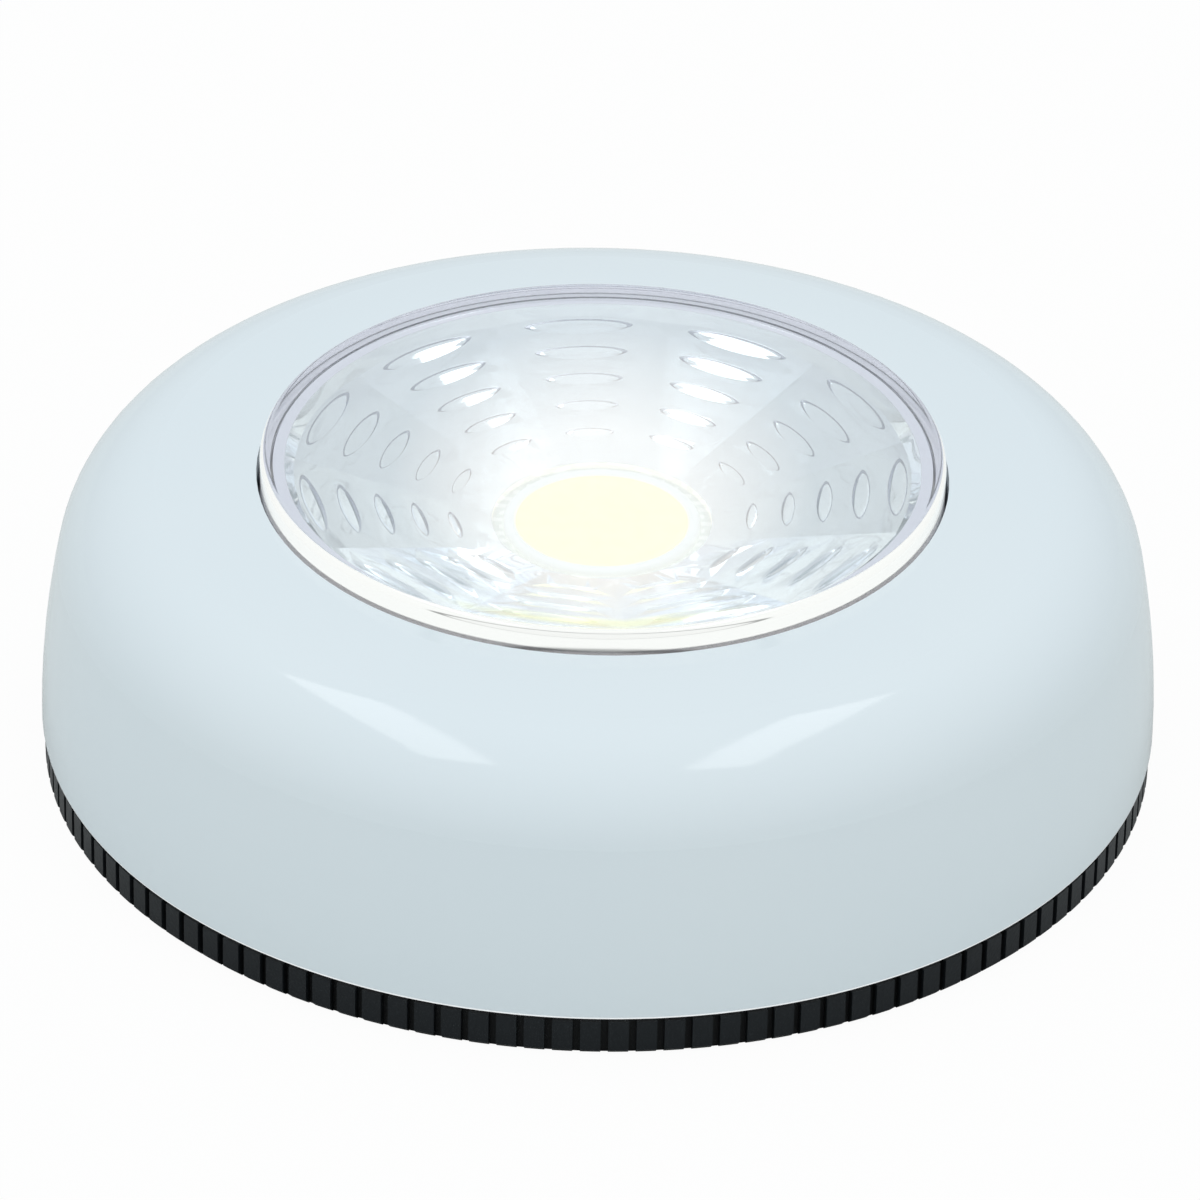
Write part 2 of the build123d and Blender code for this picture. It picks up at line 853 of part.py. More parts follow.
def build():
    """Write every node."""
    os.makedirs("parts", exist_ok=True)
    save("base_cover", base_cover())
    save("adhesive_pad", adhesive_pad())
    save("housing_shell", housing_shell())
    save("lens", lens())
    save("reflector", reflector())
    save("led_board", led_board())
    save("led_dam", led_dam())
    save("led_disc", led_disc())
    save("button_carrier", button_carrier())
    save("return_springs", *return_springs())
    places = cell_places()
    for name, (x, side) in zip(("cell_left", "cell_middle", "cell_right"), places):
        save(name, cell(x, side))
    save("positive_terminal", terminal(places[0][0], places[0][1]))
    save("negative_terminal", terminal(places[-1][0], -places[-1][1]))
    half = cell_radius - plate_side_margin
    save("rear_bridge", contact_plate(places[1][0] - half, places[2][0] + half, 1))
    save("front_bridge", contact_plate(places[0][0] - half, places[1][0] + half, -1))
    save("contact_springs", *contact_springs())
    save("battery_tray", battery_tray())
    save("switch_board", switch_board())
    save("switch_case", switch_case())
    save("switch_plunger", switch_plunger())
    save("tray_screws", *tray_screws())
    save("board_screws", *board_screws())
    save("positive_wire", battery_wire(1))
    save("negative_wire", battery_wire(-1))
    save("led_leads", lead(-1), lead(1))


build()
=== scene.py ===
# %% [markdown]
# A battery push light, dressed for a studio photograph
#
# The light is a low white puck that sticks to a wall or a shelf. Pressing its clear cap
# switches it on. The solids come ready made from the construction model, and these cells
# give them their finishes, make the pieces that need a finer shape, and light the set.
# The first cell loads the solids and keeps the size of the whole light.

# %% Load the solids
from math import cos, hypot, pi, radians, sin, tan, tau

import bmesh
import bpy
from mathutils import Matrix, Quaternion, Vector


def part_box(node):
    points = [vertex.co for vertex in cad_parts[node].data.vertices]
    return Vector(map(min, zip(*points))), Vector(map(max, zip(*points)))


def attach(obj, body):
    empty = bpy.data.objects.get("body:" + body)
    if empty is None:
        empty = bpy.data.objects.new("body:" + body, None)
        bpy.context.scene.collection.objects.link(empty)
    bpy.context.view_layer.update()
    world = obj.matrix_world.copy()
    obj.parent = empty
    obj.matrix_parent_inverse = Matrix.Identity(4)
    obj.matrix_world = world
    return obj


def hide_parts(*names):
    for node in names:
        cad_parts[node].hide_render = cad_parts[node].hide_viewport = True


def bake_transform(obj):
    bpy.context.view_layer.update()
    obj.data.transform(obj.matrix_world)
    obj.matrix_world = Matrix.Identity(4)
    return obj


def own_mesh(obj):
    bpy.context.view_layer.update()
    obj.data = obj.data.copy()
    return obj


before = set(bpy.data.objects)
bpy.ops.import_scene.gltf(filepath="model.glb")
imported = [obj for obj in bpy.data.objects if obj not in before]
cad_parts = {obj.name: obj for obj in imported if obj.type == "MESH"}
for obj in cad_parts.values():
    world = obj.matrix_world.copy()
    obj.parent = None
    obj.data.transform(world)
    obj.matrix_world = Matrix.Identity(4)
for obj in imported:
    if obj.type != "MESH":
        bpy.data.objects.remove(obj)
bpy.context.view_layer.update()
mm = 0.001

# %% [markdown]
# The camera comes first, because it decides what counts as a difference. The picture was
# taken with a long lens from a little more than half a metre, about thirty-three degrees
# above the table, and held with a slight tilt. A camera in Blender looks down its own
# minus Z axis, so one track quaternion aims it, and a turn about that axis tilts it.

# %% Set the camera
camera_distance = 615.0 * mm
camera_height_angle = radians(32.77)
camera_tilt = radians(1.27)
camera_focal_length = 239.8
camera_film_width = 36.0
camera_target = Vector((0.0, 5.6 * mm, 9.1 * mm))

camera_data = bpy.data.cameras.new("camera")
camera_data.lens = camera_focal_length
camera_data.sensor_width = camera_film_width
camera = bpy.data.objects.new("camera", camera_data)
bpy.context.scene.collection.objects.link(camera)
camera.location = camera_distance * Vector((0, -cos(camera_height_angle), sin(camera_height_angle)))
aim = (camera_target - camera.location).to_track_quat("-Z", "Y")
camera.rotation_mode = "QUATERNION"
camera.rotation_quaternion = aim @ Quaternion((0, 0, 1), camera_tilt)
bpy.context.scene.camera = camera
bpy.context.scene.view_settings.view_transform = "Standard"
print("camera at", [round(place / mm, 1) for place in camera.location], "mm")

# %% [markdown]
# Every finish below is a node tree on one Principled shader. Colours are written as the
# sRGB hex values that one would read off a screen, and one function turns them into the
# linear numbers that a shader works with. A second function adds a node, sets its values
# and joins its inputs, so that a recipe reads from top to bottom. A Mix node keeps its
# colour sockets behind those for numbers and vectors, so their places get names here.

# %% Colour and node helpers
mix_share = 0
mix_first = 6
mix_second = 7
mix_result = 2


def linear(hex_code):
    """Colour of an sRGB hex code, as the linear red, green, blue and alpha of a shader."""
    values = []
    for place in (1, 3, 5):
        share = int(hex_code[place:place + 2], 16) / 255
        # The sRGB curve is a straight line near black, and a power above that.
        values.append(share / 12.92 if share <= 0.04045 else ((share + 0.055) / 1.055) ** 2.4)
    return (*values, 1.0)


def add_node(material, kind, inputs=None, **settings):
    """Add one node, with its settings, and with each input joined to a socket or set to a value."""
    made = material.node_tree.nodes.new(kind)
    for name, value in settings.items():
        setattr(made, name, value)
    for name, value in (inputs or {}).items():
        if isinstance(value, bpy.types.NodeSocket):
            material.node_tree.links.new(value, made.inputs[name])
        else:
            made.inputs[name].default_value = value
    return made


def join(material, source, shader, name):
    """Run a link from an output to a socket of the shader."""
    material.node_tree.links.new(source, shader.inputs[name])


def new_finish(name, hex_code, roughness, ior=1.5, metallic=0.0):
    """Material with one Principled shader, and that shader."""
    material = bpy.data.materials.new(name)
    material.use_nodes = True
    shader = material.node_tree.nodes["Principled BSDF"]
    shader.inputs["Base Color"].default_value = linear(hex_code)
    shader.inputs["Roughness"].default_value = roughness
    shader.inputs["IOR"].default_value = ior
    shader.inputs["Metallic"].default_value = metallic
    return material, shader


print("a middle grey is", round(linear("#808080")[0], 3), "in linear light")

# %% [markdown]
# Two recipes come back in nearly every finish. Gloss is never quite even, so a cloudy
# noise lets the roughness wander a little. And no skin is quite flat, so a second noise
# raises and lowers it by a few micrometres. Both read the place on the piece in metres,
# so one over the width of a cloud is the scale of its noise.

# %% Uneven gloss and relief
cloud_low = 0.3
cloud_high = 0.7


def wander(material, place, cloud_size, low, high, detail, distortion=0.0):
    """Value that wanders from low to high, in clouds about as wide as cloud_size."""
    cloud = add_node(
        material, "ShaderNodeTexNoise",
        {"Vector": place, "Scale": 1 / cloud_size, "Detail": detail, "Distortion": distortion})
    held = add_node(
        material, "ShaderNodeMapRange",
        {"Value": cloud.outputs["Fac"], "From Min": cloud_low, "From Max": cloud_high,
         "To Min": low, "To Max": high})
    return held.outputs["Result"]


def relief(material, shader, place, grain_size, depth, detail):
    """Raise and lower the look of the skin by depth, in grains about as wide as grain_size."""
    grain = add_node(
        material, "ShaderNodeTexNoise", {"Vector": place, "Scale": 1 / grain_size, "Detail": detail})
    skin = add_node(
        material, "ShaderNodeBump", {"Height": grain.outputs["Fac"], "Distance": depth, "Strength": 1.0})
    join(material, skin.outputs["Normal"], shader, "Normal")


print("clouds run from", cloud_low, "to", cloud_high, "of the noise")

# %% [markdown]
# The housing is moulded in gloss ABS, tinted a cold white. A polished mould gives it a
# smooth skin, yet the plastic shrinks a little as it cools, which the eye reads as a very
# faint waviness in the reflections. The colour drifts by a shade or so over centimetres.
# A fine white line along the thin foot edge over the base is a painted highlight, with a faint glow.

# %% Gloss white ABS
foot_highlight_height = 0.22 * mm
foot_highlight_fade = 0.11 * mm
foot_highlight_glow = 0.3
housing_drift_size = 30 * mm
housing_wear_size = 6 * mm
housing_ripple_size = 9 * mm
housing_ripple_depth = 0.006 * mm


def gloss_white_abs(foot_z):
    """Cold gloss white, with a painted highlight along the foot."""
    material, shader = new_finish("gloss_white_abs", "#E0EAEE", 0.1, ior=1.54)
    place = add_node(material, "ShaderNodeTexCoord").outputs["Object"]
    drift = add_node(material, "ShaderNodeTexNoise", {"Vector": place, "Scale": 1 / housing_drift_size})
    tint = add_node(
        material, "ShaderNodeMix",
        {mix_share: drift.outputs["Fac"], mix_first: linear("#DEE9EE"), mix_second: linear("#E2EBEE")},
        data_type="RGBA")
    height = add_node(material, "ShaderNodeSeparateXYZ", {0: place}).outputs["Z"]
    # Painted highlight: whiter colour and a faint glow in a thin band at the foot.
    highlight_top = foot_z + foot_highlight_height
    painted_foot_highlight = add_node(
        material, "ShaderNodeMapRange",
        {"Value": height, "From Min": highlight_top, "From Max": highlight_top + foot_highlight_fade,
         "To Min": 1.0, "To Max": 0.0}).outputs["Result"]
    colour = add_node(
        material, "ShaderNodeMix",
        {mix_share: painted_foot_highlight, mix_first: tint.outputs[mix_result], mix_second: linear("#FDFEFF")},
        data_type="RGBA")
    join(material, colour.outputs[mix_result], shader, "Base Color")
    glow = add_node(material, "ShaderNodeMapRange", {"Value": painted_foot_highlight, "To Max": foot_highlight_glow})
    join(material, glow.outputs["Result"], shader, "Emission Strength")
    join(material, wander(material, place, housing_wear_size, 0.07, 0.1, detail=4.0), shader, "Roughness")
    relief(material, shader, place, housing_ripple_size, housing_ripple_depth, detail=1.0)
    return material


housing_low, housing_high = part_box("housing_shell")
housing_finish = gloss_white_abs(housing_low.z)
print("made", housing_finish.name)

# %% [markdown]
# The base is black ABS from a mould with a fine spark-eroded texture, so it looks satin.
# Hands polish the tips of the ribs when they turn the housing, so the tips are a little
# smoother than the valleys. The colour is also greyer on the tips and darker in the valleys.
# The distance from the middle axis tells which is which, and the grain of 0.25 mm is drawn as it is.

# %% Satin black ABS
rib_depth = 0.55 * mm
base_grain_size = 0.25 * mm
base_grain_depth = 0.02 * mm


def axis_distance(material, place):
    """Distance from the middle axis: the length of the place once its height is taken out."""
    level_place = add_node(
        material, "ShaderNodeVectorMath", {0: place, 1: (1, 1, 0)}, operation="MULTIPLY")
    length = add_node(
        material, "ShaderNodeVectorMath", {0: level_place.outputs[0]}, operation="LENGTH")
    return length.outputs["Value"]


def satin_black_abs(rib_tip_radius):
    """Satin black, greyer and smoother on the tips of the ribs."""
    material, shader = new_finish("satin_black_abs", "#14171A", 0.45, ior=1.54)
    shader.inputs["Specular IOR Level"].default_value = 0.16
    place = add_node(material, "ShaderNodeTexCoord").outputs["Object"]
    on_tip = add_node(
        material, "ShaderNodeMapRange",
        {"Value": axis_distance(material, place), "From Min": rib_tip_radius - rib_depth,
         "From Max": rib_tip_radius}).outputs["Result"]
    tone = add_node(
        material, "ShaderNodeMix",
        {mix_share: on_tip, mix_first: linear("#0D0F10"), mix_second: linear("#171B1E")},
        data_type="RGBA")
    join(material, tone.outputs[mix_result], shader, "Base Color")
    polish = add_node(material, "ShaderNodeMapRange", {"Value": on_tip, "To Min": 0.55, "To Max": 0.38})
    join(material, polish.outputs["Result"], shader, "Roughness")
    relief(material, shader, place, base_grain_size, base_grain_depth, detail=3.0)
    return material


base_low, base_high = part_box("base_cover")
base_finish = satin_black_abs(base_high.x)
print("made", base_finish.name)

# %% [markdown]
# The cap is clear, yet in Blender a clear shell throws a full shadow, because a refracted
# ray never finds a lamp. Caustics could carry the light, but they take very long to get
# smooth. Here the rays that only carry light pass the shell straight, and the rays that
# show it are refracted as they should be.

# %% Light through a clear shell
def let_light_through(material, shader):
    """Let the rays that carry light pass a clear shell straight, so that it lights what it covers."""
    sight = add_node(material, "ShaderNodeLightPath")
    lit = add_node(
        material, "ShaderNodeMath",
        {0: sight.outputs["Is Shadow Ray"], 1: sight.outputs["Is Diffuse Ray"]}, operation="MAXIMUM")
    open_way = add_node(material, "ShaderNodeBsdfTransparent")
    mix = add_node(
        material, "ShaderNodeMixShader", {0: lit.outputs[0], 1: shader.outputs[0], 2: open_way.outputs[0]})
    output = material.node_tree.nodes["Material Output"]
    material.node_tree.links.new(mix.outputs[0], output.inputs["Surface"])


lens_low, lens_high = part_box("lens")
print("the clear shell is", round(2 * lens_high.x / mm, 1), "mm wide")

# %% [markdown]
# The cap is clear styrene, polished inside and out. Clear plastic has no colour of its
# own in a thin wall, so the look comes from its index of refraction, 1.59, and from a
# surface that is nearly perfect. The foot of the wall stands in the dark slot of the
# housing, and there its colour is painted a dark grey: painted shade.

# %% Clear styrene
wall_skin = 0.15 * mm
slot_fade = 0.1 * mm
slot_rise = 0.15 * mm
cap_ripple_size = 9 * mm
cap_ripple_depth = 0.006 * mm


def clear_styrene(slot_z, wall_radius):
    """Clear plastic, with painted shade where its wall stands in the slot."""
    material, shader = new_finish("clear_styrene", "#F6F8FA", 0.02, ior=1.59)
    shader.inputs["Transmission Weight"].default_value = 1.0
    place = add_node(material, "ShaderNodeTexCoord").outputs["Object"]
    height = add_node(material, "ShaderNodeSeparateXYZ", {0: place}).outputs["Z"]
    outside = add_node(
        material, "ShaderNodeMapRange",
        {"Value": axis_distance(material, place), "From Min": wall_radius - wall_skin,
         "From Max": wall_radius})
    below = add_node(
        material, "ShaderNodeMapRange",
        {"Value": height, "From Min": slot_z, "From Max": slot_z + slot_fade,
         "To Min": 1.0, "To Max": 0.0})
    painted_slot_shade = add_node(
        material, "ShaderNodeMath",
        {0: outside.outputs["Result"], 1: below.outputs["Result"]}, operation="MULTIPLY")
    # Painted shade: the wall's foot in the slot is tinted dark grey.
    tint = add_node(
        material, "ShaderNodeMix",
        {mix_share: painted_slot_shade.outputs[0], mix_first: linear("#F6F8FA"), mix_second: linear("#5C5A60")},
        data_type="RGBA")
    join(material, tint.outputs[mix_result], shader, "Base Color")
    relief(material, shader, place, cap_ripple_size, cap_ripple_depth, detail=1.0)
    let_light_through(material, shader)
    return material, shader


lens_finish, lens_shader = clear_styrene(housing_high.z + slot_rise, lens_high.x)
print("made", lens_finish.name)

# %% [markdown]
# The lamp shines into the cap from below, so light that is trapped in its plate is
# brightest at the underside. Over the gap between the lamp and the bowl it is darker,
# which shows as a thin dark line in the front of the rim. Three map ranges write that
# down: one falls towards the gap, one rises past it, and one ends at the underside.

# %% Light under the plate
ring_inside = 0.3 * mm
ring_outside = 0.1 * mm
ring_fade = 0.4 * mm
ring_level = 0.4
past_ring_level = 0.65
plate_skin = 0.5 * mm


def light_under_plate(material, place, plate_z, gap_radius):
    """Level of the light that comes out of the plate's underside, with a dark ring over the gap."""
    reach = axis_distance(material, place)
    height = add_node(material, "ShaderNodeSeparateXYZ", {0: place}).outputs["Z"]
    ring_inner = gap_radius - ring_inside
    ring_outer = gap_radius + ring_outside
    before = add_node(
        material, "ShaderNodeMapRange",
        {"Value": reach, "From Min": ring_inner - ring_fade, "From Max": ring_inner,
         "To Min": 1.0, "To Max": ring_level})
    past = add_node(
        material, "ShaderNodeMapRange",
        {"Value": reach, "From Min": ring_outer, "From Max": ring_outer + ring_fade,
         "To Max": past_ring_level})
    over_gap = add_node(
        material, "ShaderNodeMath",
        {0: before.outputs["Result"], 1: past.outputs["Result"]}, operation="ADD")
    underneath = add_node(
        material, "ShaderNodeMapRange",
        {"Value": height, "From Min": plate_z, "From Max": plate_z + plate_skin,
         "To Min": 1.0, "To Max": 0.0})
    level = add_node(
        material, "ShaderNodeMath",
        {0: over_gap.outputs[0], 1: underneath.outputs["Result"]}, operation="MULTIPLY")
    return level.outputs[0]


bowl_low, bowl_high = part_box("reflector")
print("the plate's underside lies", round(bowl_high.z / mm, 1), "mm above the ground")

# %% [markdown]
# Light that enters the cap by its rounded edge is trapped: it bounces between the two
# faces until it has crossed the plate, and comes out as a mix of all that stands round
# it. Following it takes more bounces than a picture is worth, so a ray at its sixth step,
# whose depth counts as five, is given that mean colour instead. Out in the rim it is a
# pale grey with some lilac, and under the plate it is nearly white.

# %% Light trapped in the cap
trapped_depth = 5.0
depth_slack = 0.5
rim_width = 3 * mm
rim_fade = 1 * mm
rim_level = 0.68
plate_clearance = 0.1 * mm


def trap_light(material, shader, plate_z, wall_radius, gap_radius):
    """Glow of a ray that has bounced to the trapped depth."""
    place = add_node(material, "ShaderNodeTexCoord").outputs["Object"]
    rim_start = wall_radius - rim_width - rim_fade
    in_rim = add_node(
        material, "ShaderNodeMapRange",
        {"Value": axis_distance(material, place), "From Min": rim_start,
         "From Max": rim_start + rim_fade}).outputs["Result"]
    under_plate = light_under_plate(material, place, plate_z, gap_radius)
    level = add_node(material, "ShaderNodeMix", {"Factor": in_rim, "A": under_plate, "B": rim_level})
    depth = add_node(material, "ShaderNodeLightPath").outputs["Ray Depth"]
    trapped = add_node(
        material, "ShaderNodeMath", {0: depth, 1: trapped_depth, 2: depth_slack}, operation="COMPARE")
    colour = add_node(
        material, "ShaderNodeMix",
        {mix_share: in_rim, mix_first: linear("#FAFBF7"), mix_second: linear("#F1F0F8")},
        data_type="RGBA")
    join(material, colour.outputs[mix_result], shader, "Emission Color")
    glow = add_node(
        material, "ShaderNodeMath", {0: trapped.outputs[0], 1: level.outputs[0]}, operation="MULTIPLY")
    join(material, glow.outputs[0], shader, "Emission Strength")


dam_low, dam_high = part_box("led_dam")
trap_light(lens_finish, lens_shader, bowl_high.z + plate_clearance, lens_high.x, dam_high.x)
print("the gap round the lamp starts", round(dam_high.x / mm, 2), "mm from the axis")

# %% [markdown]
# The lit gel fills the bowl with a warm haze that fades out towards its edge and reaches
# further at the back. The front of the cap throws a second, blurred image of the gel back
# on the bowl. Each haze fades out with the distance from its own centre.

# %% Haze of the lamp
lamp_haze_centre_y = 3 * mm
lamp_haze_stretch = 1.25
lamp_haze_inner = 8.5 * mm
lamp_haze_outer = 20 * mm
lamp_haze_level = 0.34
second_image_centre_y = -17 * mm
second_image_inner = 2 * mm
second_image_outer = 10 * mm
second_image_level = 0.16


def glow_round(material, place, centre_y, stretch_x, inner, outer, level):
    """Light that fades out from a point on the front-to-back line, from inner to outer distance."""
    from_centre = add_node(
        material, "ShaderNodeMapping",
        {"Vector": place, "Location": (0, -centre_y, 0), "Scale": (stretch_x, 1, 1)})
    faded = add_node(
        material, "ShaderNodeMapRange",
        {"Value": axis_distance(material, from_centre.outputs["Vector"]), "From Min": inner,
         "From Max": outer, "To Min": level, "To Max": 0.0})
    return faded.outputs["Result"]


print("the haze reaches", lamp_haze_outer / mm, "mm out")

# %% [markdown]
# The outer edge of the second image is a pale yellow crescent, where the cap's rim bends
# the gel's colours apart. It is a ring, made of one range that rises and one that falls,
# of which a third range keeps only the front.

# %% Crescent at the front
crescent_inner = 18.3 * mm
crescent_outer = 21.4 * mm
crescent_fade = 1 * mm
crescent_front_y = -19.5 * mm
crescent_end_y = -17 * mm


def crescent_share(material, place):
    """1 on a narrow crescent at the front of the bowl, and 0 away from it."""
    reach = axis_distance(material, place)
    front = add_node(material, "ShaderNodeSeparateXYZ", {0: place}).outputs["Y"]
    rise = add_node(
        material, "ShaderNodeMapRange",
        {"Value": reach, "From Min": crescent_inner, "From Max": crescent_inner + crescent_fade})
    fall = add_node(
        material, "ShaderNodeMapRange",
        {"Value": reach, "From Min": crescent_outer - crescent_fade, "From Max": crescent_outer,
         "To Min": 1.0, "To Max": 0.0})
    ring = add_node(
        material, "ShaderNodeMath", {0: rise.outputs["Result"], 1: fall.outputs["Result"]},
        operation="MULTIPLY")
    at_front = add_node(
        material, "ShaderNodeMapRange",
        {"Value": front, "From Min": crescent_front_y, "From Max": crescent_end_y,
         "To Min": 1.0, "To Max": 0.0})
    crescent = add_node(
        material, "ShaderNodeMath", {0: ring.outputs[0], 1: at_front.outputs["Result"]},
        operation="MULTIPLY")
    return crescent.outputs[0]


print("the crescent is", round((crescent_outer - crescent_inner) / mm, 1), "mm wide")

# %% [markdown]
# The coat has the colour of aluminium, with the crescent laid over it as a painted
# reflection. Towards the front the light that the cap throws back evens out both coats,
# so there they are painted one pale colour: painted light. A clamp covers the flange while
# the coat goes on, so from the bowl's edge outwards the pale plastic stays bare and isn't a
# metal.

# %% Colour of the coat
bowl_edge_radius = 23.95 * mm
coat_edge_fade = 0.05 * mm
bright_front_y = -12 * mm
plain_front_y = -4 * mm


def coat_colour(material, shader, place, hex_code):
    """Colour of the coat, with the painted crescent reflection and painted light at the front, up to the
    bare edge.
    """
    front = add_node(material, "ShaderNodeSeparateXYZ", {0: place}).outputs["Y"]
    front_painted_light = add_node(
        material, "ShaderNodeMapRange",
        {"Value": front, "From Min": bright_front_y, "From Max": plain_front_y,
         "To Min": 1.0, "To Max": 0.0})
    coat = add_node(
        material, "ShaderNodeMix",
        {mix_share: front_painted_light.outputs["Result"], mix_first: linear(hex_code),
         mix_second: linear("#E4E9EA")}, data_type="RGBA")
    lit_coat = add_node(
        material, "ShaderNodeMix",
        {mix_share: crescent_share(material, place), mix_first: coat.outputs[mix_result],
         mix_second: linear("#F4F4C4")}, data_type="RGBA")
    bare = add_node(
        material, "ShaderNodeMapRange",
        {"Value": axis_distance(material, place), "From Min": bowl_edge_radius,
         "From Max": bowl_edge_radius + coat_edge_fade}).outputs["Result"]
    colour = add_node(
        material, "ShaderNodeMix",
        {mix_share: bare, mix_first: lit_coat.outputs[mix_result], mix_second: linear("#DDDFE8")},
        data_type="RGBA")
    join(material, colour.outputs[mix_result], shader, "Base Color")
    metal = add_node(
        material, "ShaderNodeMapRange", {"Value": bare, "To Min": 1.0, "To Max": 0.0})
    join(material, metal.outputs["Result"], shader, "Metallic")


print("the coat ends", round(bowl_edge_radius / mm, 2), "mm from the axis")

# %% [markdown]
# The bowl is moulded and then coated with aluminium in a vacuum. The coat follows the
# mould's polish, so it mirrors softly, and thin spots and handling leave faint clouds in
# the gloss. Vapour flies straight, so the steep walls of the pockets catch less of it, and
# their coat is dull. Their darker colour is painted shade, which draws a fine dark outline
# round each pocket.

# %% Vacuum-coated aluminium
coat_cloud_size = 4 * mm
coat_cloud_swing = 0.012
second_image_blur = 0.14
coat_ripple_size = 5 * mm
coat_ripple_depth = 0.006 * mm


def coated_aluminium(name, hex_code, roughness):
    """Mirror coat with the lamp's haze in it."""
    material, shader = new_finish(name, hex_code, roughness, metallic=1.0)
    place = add_node(material, "ShaderNodeTexCoord").outputs["Object"]
    coat_colour(material, shader, place, hex_code)
    lamp_haze = glow_round(material, place, lamp_haze_centre_y, lamp_haze_stretch, lamp_haze_inner,
                           lamp_haze_outer, lamp_haze_level)
    second_image = glow_round(material, place, second_image_centre_y, 1.0, second_image_inner,
                              second_image_outer, second_image_level)
    haze = add_node(material, "ShaderNodeMath", {0: lamp_haze, 1: second_image}, operation="ADD")
    shader.inputs["Emission Color"].default_value = linear("#FFE9D3")
    join(material, haze.outputs[0], shader, "Emission Strength")
    gloss = wander(material, place, coat_cloud_size, roughness - coat_cloud_swing,
                   roughness + coat_cloud_swing, detail=2.0)
    blurred = add_node(
        material, "ShaderNodeMapRange",
        {"Value": second_image, "From Max": second_image_level, "To Max": second_image_blur})
    all_blur = add_node(
        material, "ShaderNodeMath", {0: gloss, 1: blurred.outputs["Result"]}, operation="ADD")
    join(material, all_blur.outputs[0], shader, "Roughness")
    relief(material, shader, place, coat_ripple_size, coat_ripple_depth, detail=1.0)
    return material


bowl_finish = coated_aluminium("coated_aluminium", "#E4E9EA", 0.032)
# The pockets' walls are painted darker: painted shade for their dark outlines.
wall_finish = coated_aluminium("shaded_wall_aluminium", "#B0B4BA", 0.25)
print("made", bowl_finish.name, "and", wall_finish.name)

# %% [markdown]
# The lamp itself is a round field of tiny chips under one pour of yellow phosphor gel.
# Lit, the gel shows a warm white with a yellow cast, a touch deeper over the chips. Its
# own colour under the studio light is already bright, so the glow only tops it up.

# %% Lit phosphor gel
chip_pitch = 1.2 * mm
chip_spot_low = 0.35
chip_spot_high = 0.65
gel_glow = 0.33


def lit_phosphor():
    """Yellow gel that glows, with spots over the chips."""
    material, shader = new_finish("lit_phosphor", "#F1F0C8", 0.35, ior=1.41)
    place = add_node(material, "ShaderNodeTexCoord").outputs["Object"]
    spots = add_node(material, "ShaderNodeTexNoise", {"Vector": place, "Scale": 1 / chip_pitch})
    over_chip = add_node(
        material, "ShaderNodeMapRange",
        {"Value": spots.outputs["Fac"], "From Min": chip_spot_low, "From Max": chip_spot_high})
    glow = add_node(
        material, "ShaderNodeMix",
        {mix_share: over_chip.outputs["Result"], mix_first: linear("#FDFDEC"),
         mix_second: linear("#FCFCE2")}, data_type="RGBA")
    join(material, glow.outputs[mix_result], shader, "Emission Color")
    shader.inputs["Emission Strength"].default_value = gel_glow
    return material


lamp_finish = lit_phosphor()
print("made", lamp_finish.name)

# %% [markdown]
# The plain mouldings inside are matt ABS in white and grey, with the faint flow marks of
# unpolished moulds. One recipe serves all of them: its noise is distorted, which draws
# the clouds of the gloss out into streaks.

# %% Plain mouldings
flow_mark_size = 8 * mm
flow_mark_twist = 1.5
flow_mark_swing = 0.06
abs_grain = 0.3 * mm
nylon_grain = 0.2 * mm
silicone_grain = 0.5 * mm
pvc_grain = 0.4 * mm
plain_depth = 0.01 * mm
fine_depth = 0.005 * mm


def moulded_plastic(name, hex_code, roughness, grain_size, grain_depth):
    """Plain plastic with flow marks and a fine grain."""
    material, shader = new_finish(name, hex_code, roughness, ior=1.54)
    place = add_node(material, "ShaderNodeTexCoord").outputs["Object"]
    gloss = wander(material, place, flow_mark_size, roughness - flow_mark_swing,
                   roughness + flow_mark_swing, detail=3.0, distortion=flow_mark_twist)
    join(material, gloss, shader, "Roughness")
    relief(material, shader, place, grain_size, grain_depth, detail=3.0)
    return material


tray_finish = moulded_plastic("matt_white_abs", "#E6E8E6", 0.55, abs_grain, plain_depth)
carrier_finish = moulded_plastic("matt_grey_abs", "#DCDCE4", 0.55, abs_grain, plain_depth)
plunger_finish = moulded_plastic("white_acetal", "#E9E8E2", 0.4, nylon_grain, fine_depth)
switch_finish = moulded_plastic("black_nylon", "#26282A", 0.5, nylon_grain, plain_depth)
dam_finish = moulded_plastic("lit_white_silicone", "#F2F3EE", 0.6, silicone_grain, plain_depth)
red_finish = moulded_plastic("red_pvc", "#B3261E", 0.45, pvc_grain, plain_depth)
black_finish = moulded_plastic("black_pvc", "#1C1C1D", 0.45, pvc_grain, plain_depth)
print("made the plain mouldings")

# %% [markdown]
# The metals inside are nickel-plated strip, drawn spring wire and zinc-plated screws.
# Drawing and stamping leave fine lines, which a stretched noise gives, and plating sets
# the colour.

# %% Plated metals
line_stretch = (1.0, 0.15, 1.0)
line_gloss_swing = 0.08
line_depth = 0.004 * mm
strip_line_size = 0.4 * mm
wire_line_size = 0.2 * mm
screw_line_size = 0.3 * mm


def plated_metal(name, hex_code, roughness, line_size):
    """Plated metal with fine lines in its gloss and its skin."""
    material, shader = new_finish(name, hex_code, roughness, metallic=1.0)
    place = add_node(material, "ShaderNodeTexCoord").outputs["Object"]
    stretched = add_node(
        material, "ShaderNodeMapping", {"Vector": place, "Scale": line_stretch}).outputs["Vector"]
    gloss = wander(material, stretched, line_size, roughness - line_gloss_swing,
                   roughness + line_gloss_swing, detail=3.0)
    join(material, gloss, shader, "Roughness")
    relief(material, shader, stretched, line_size, line_depth, detail=3.0)
    return material


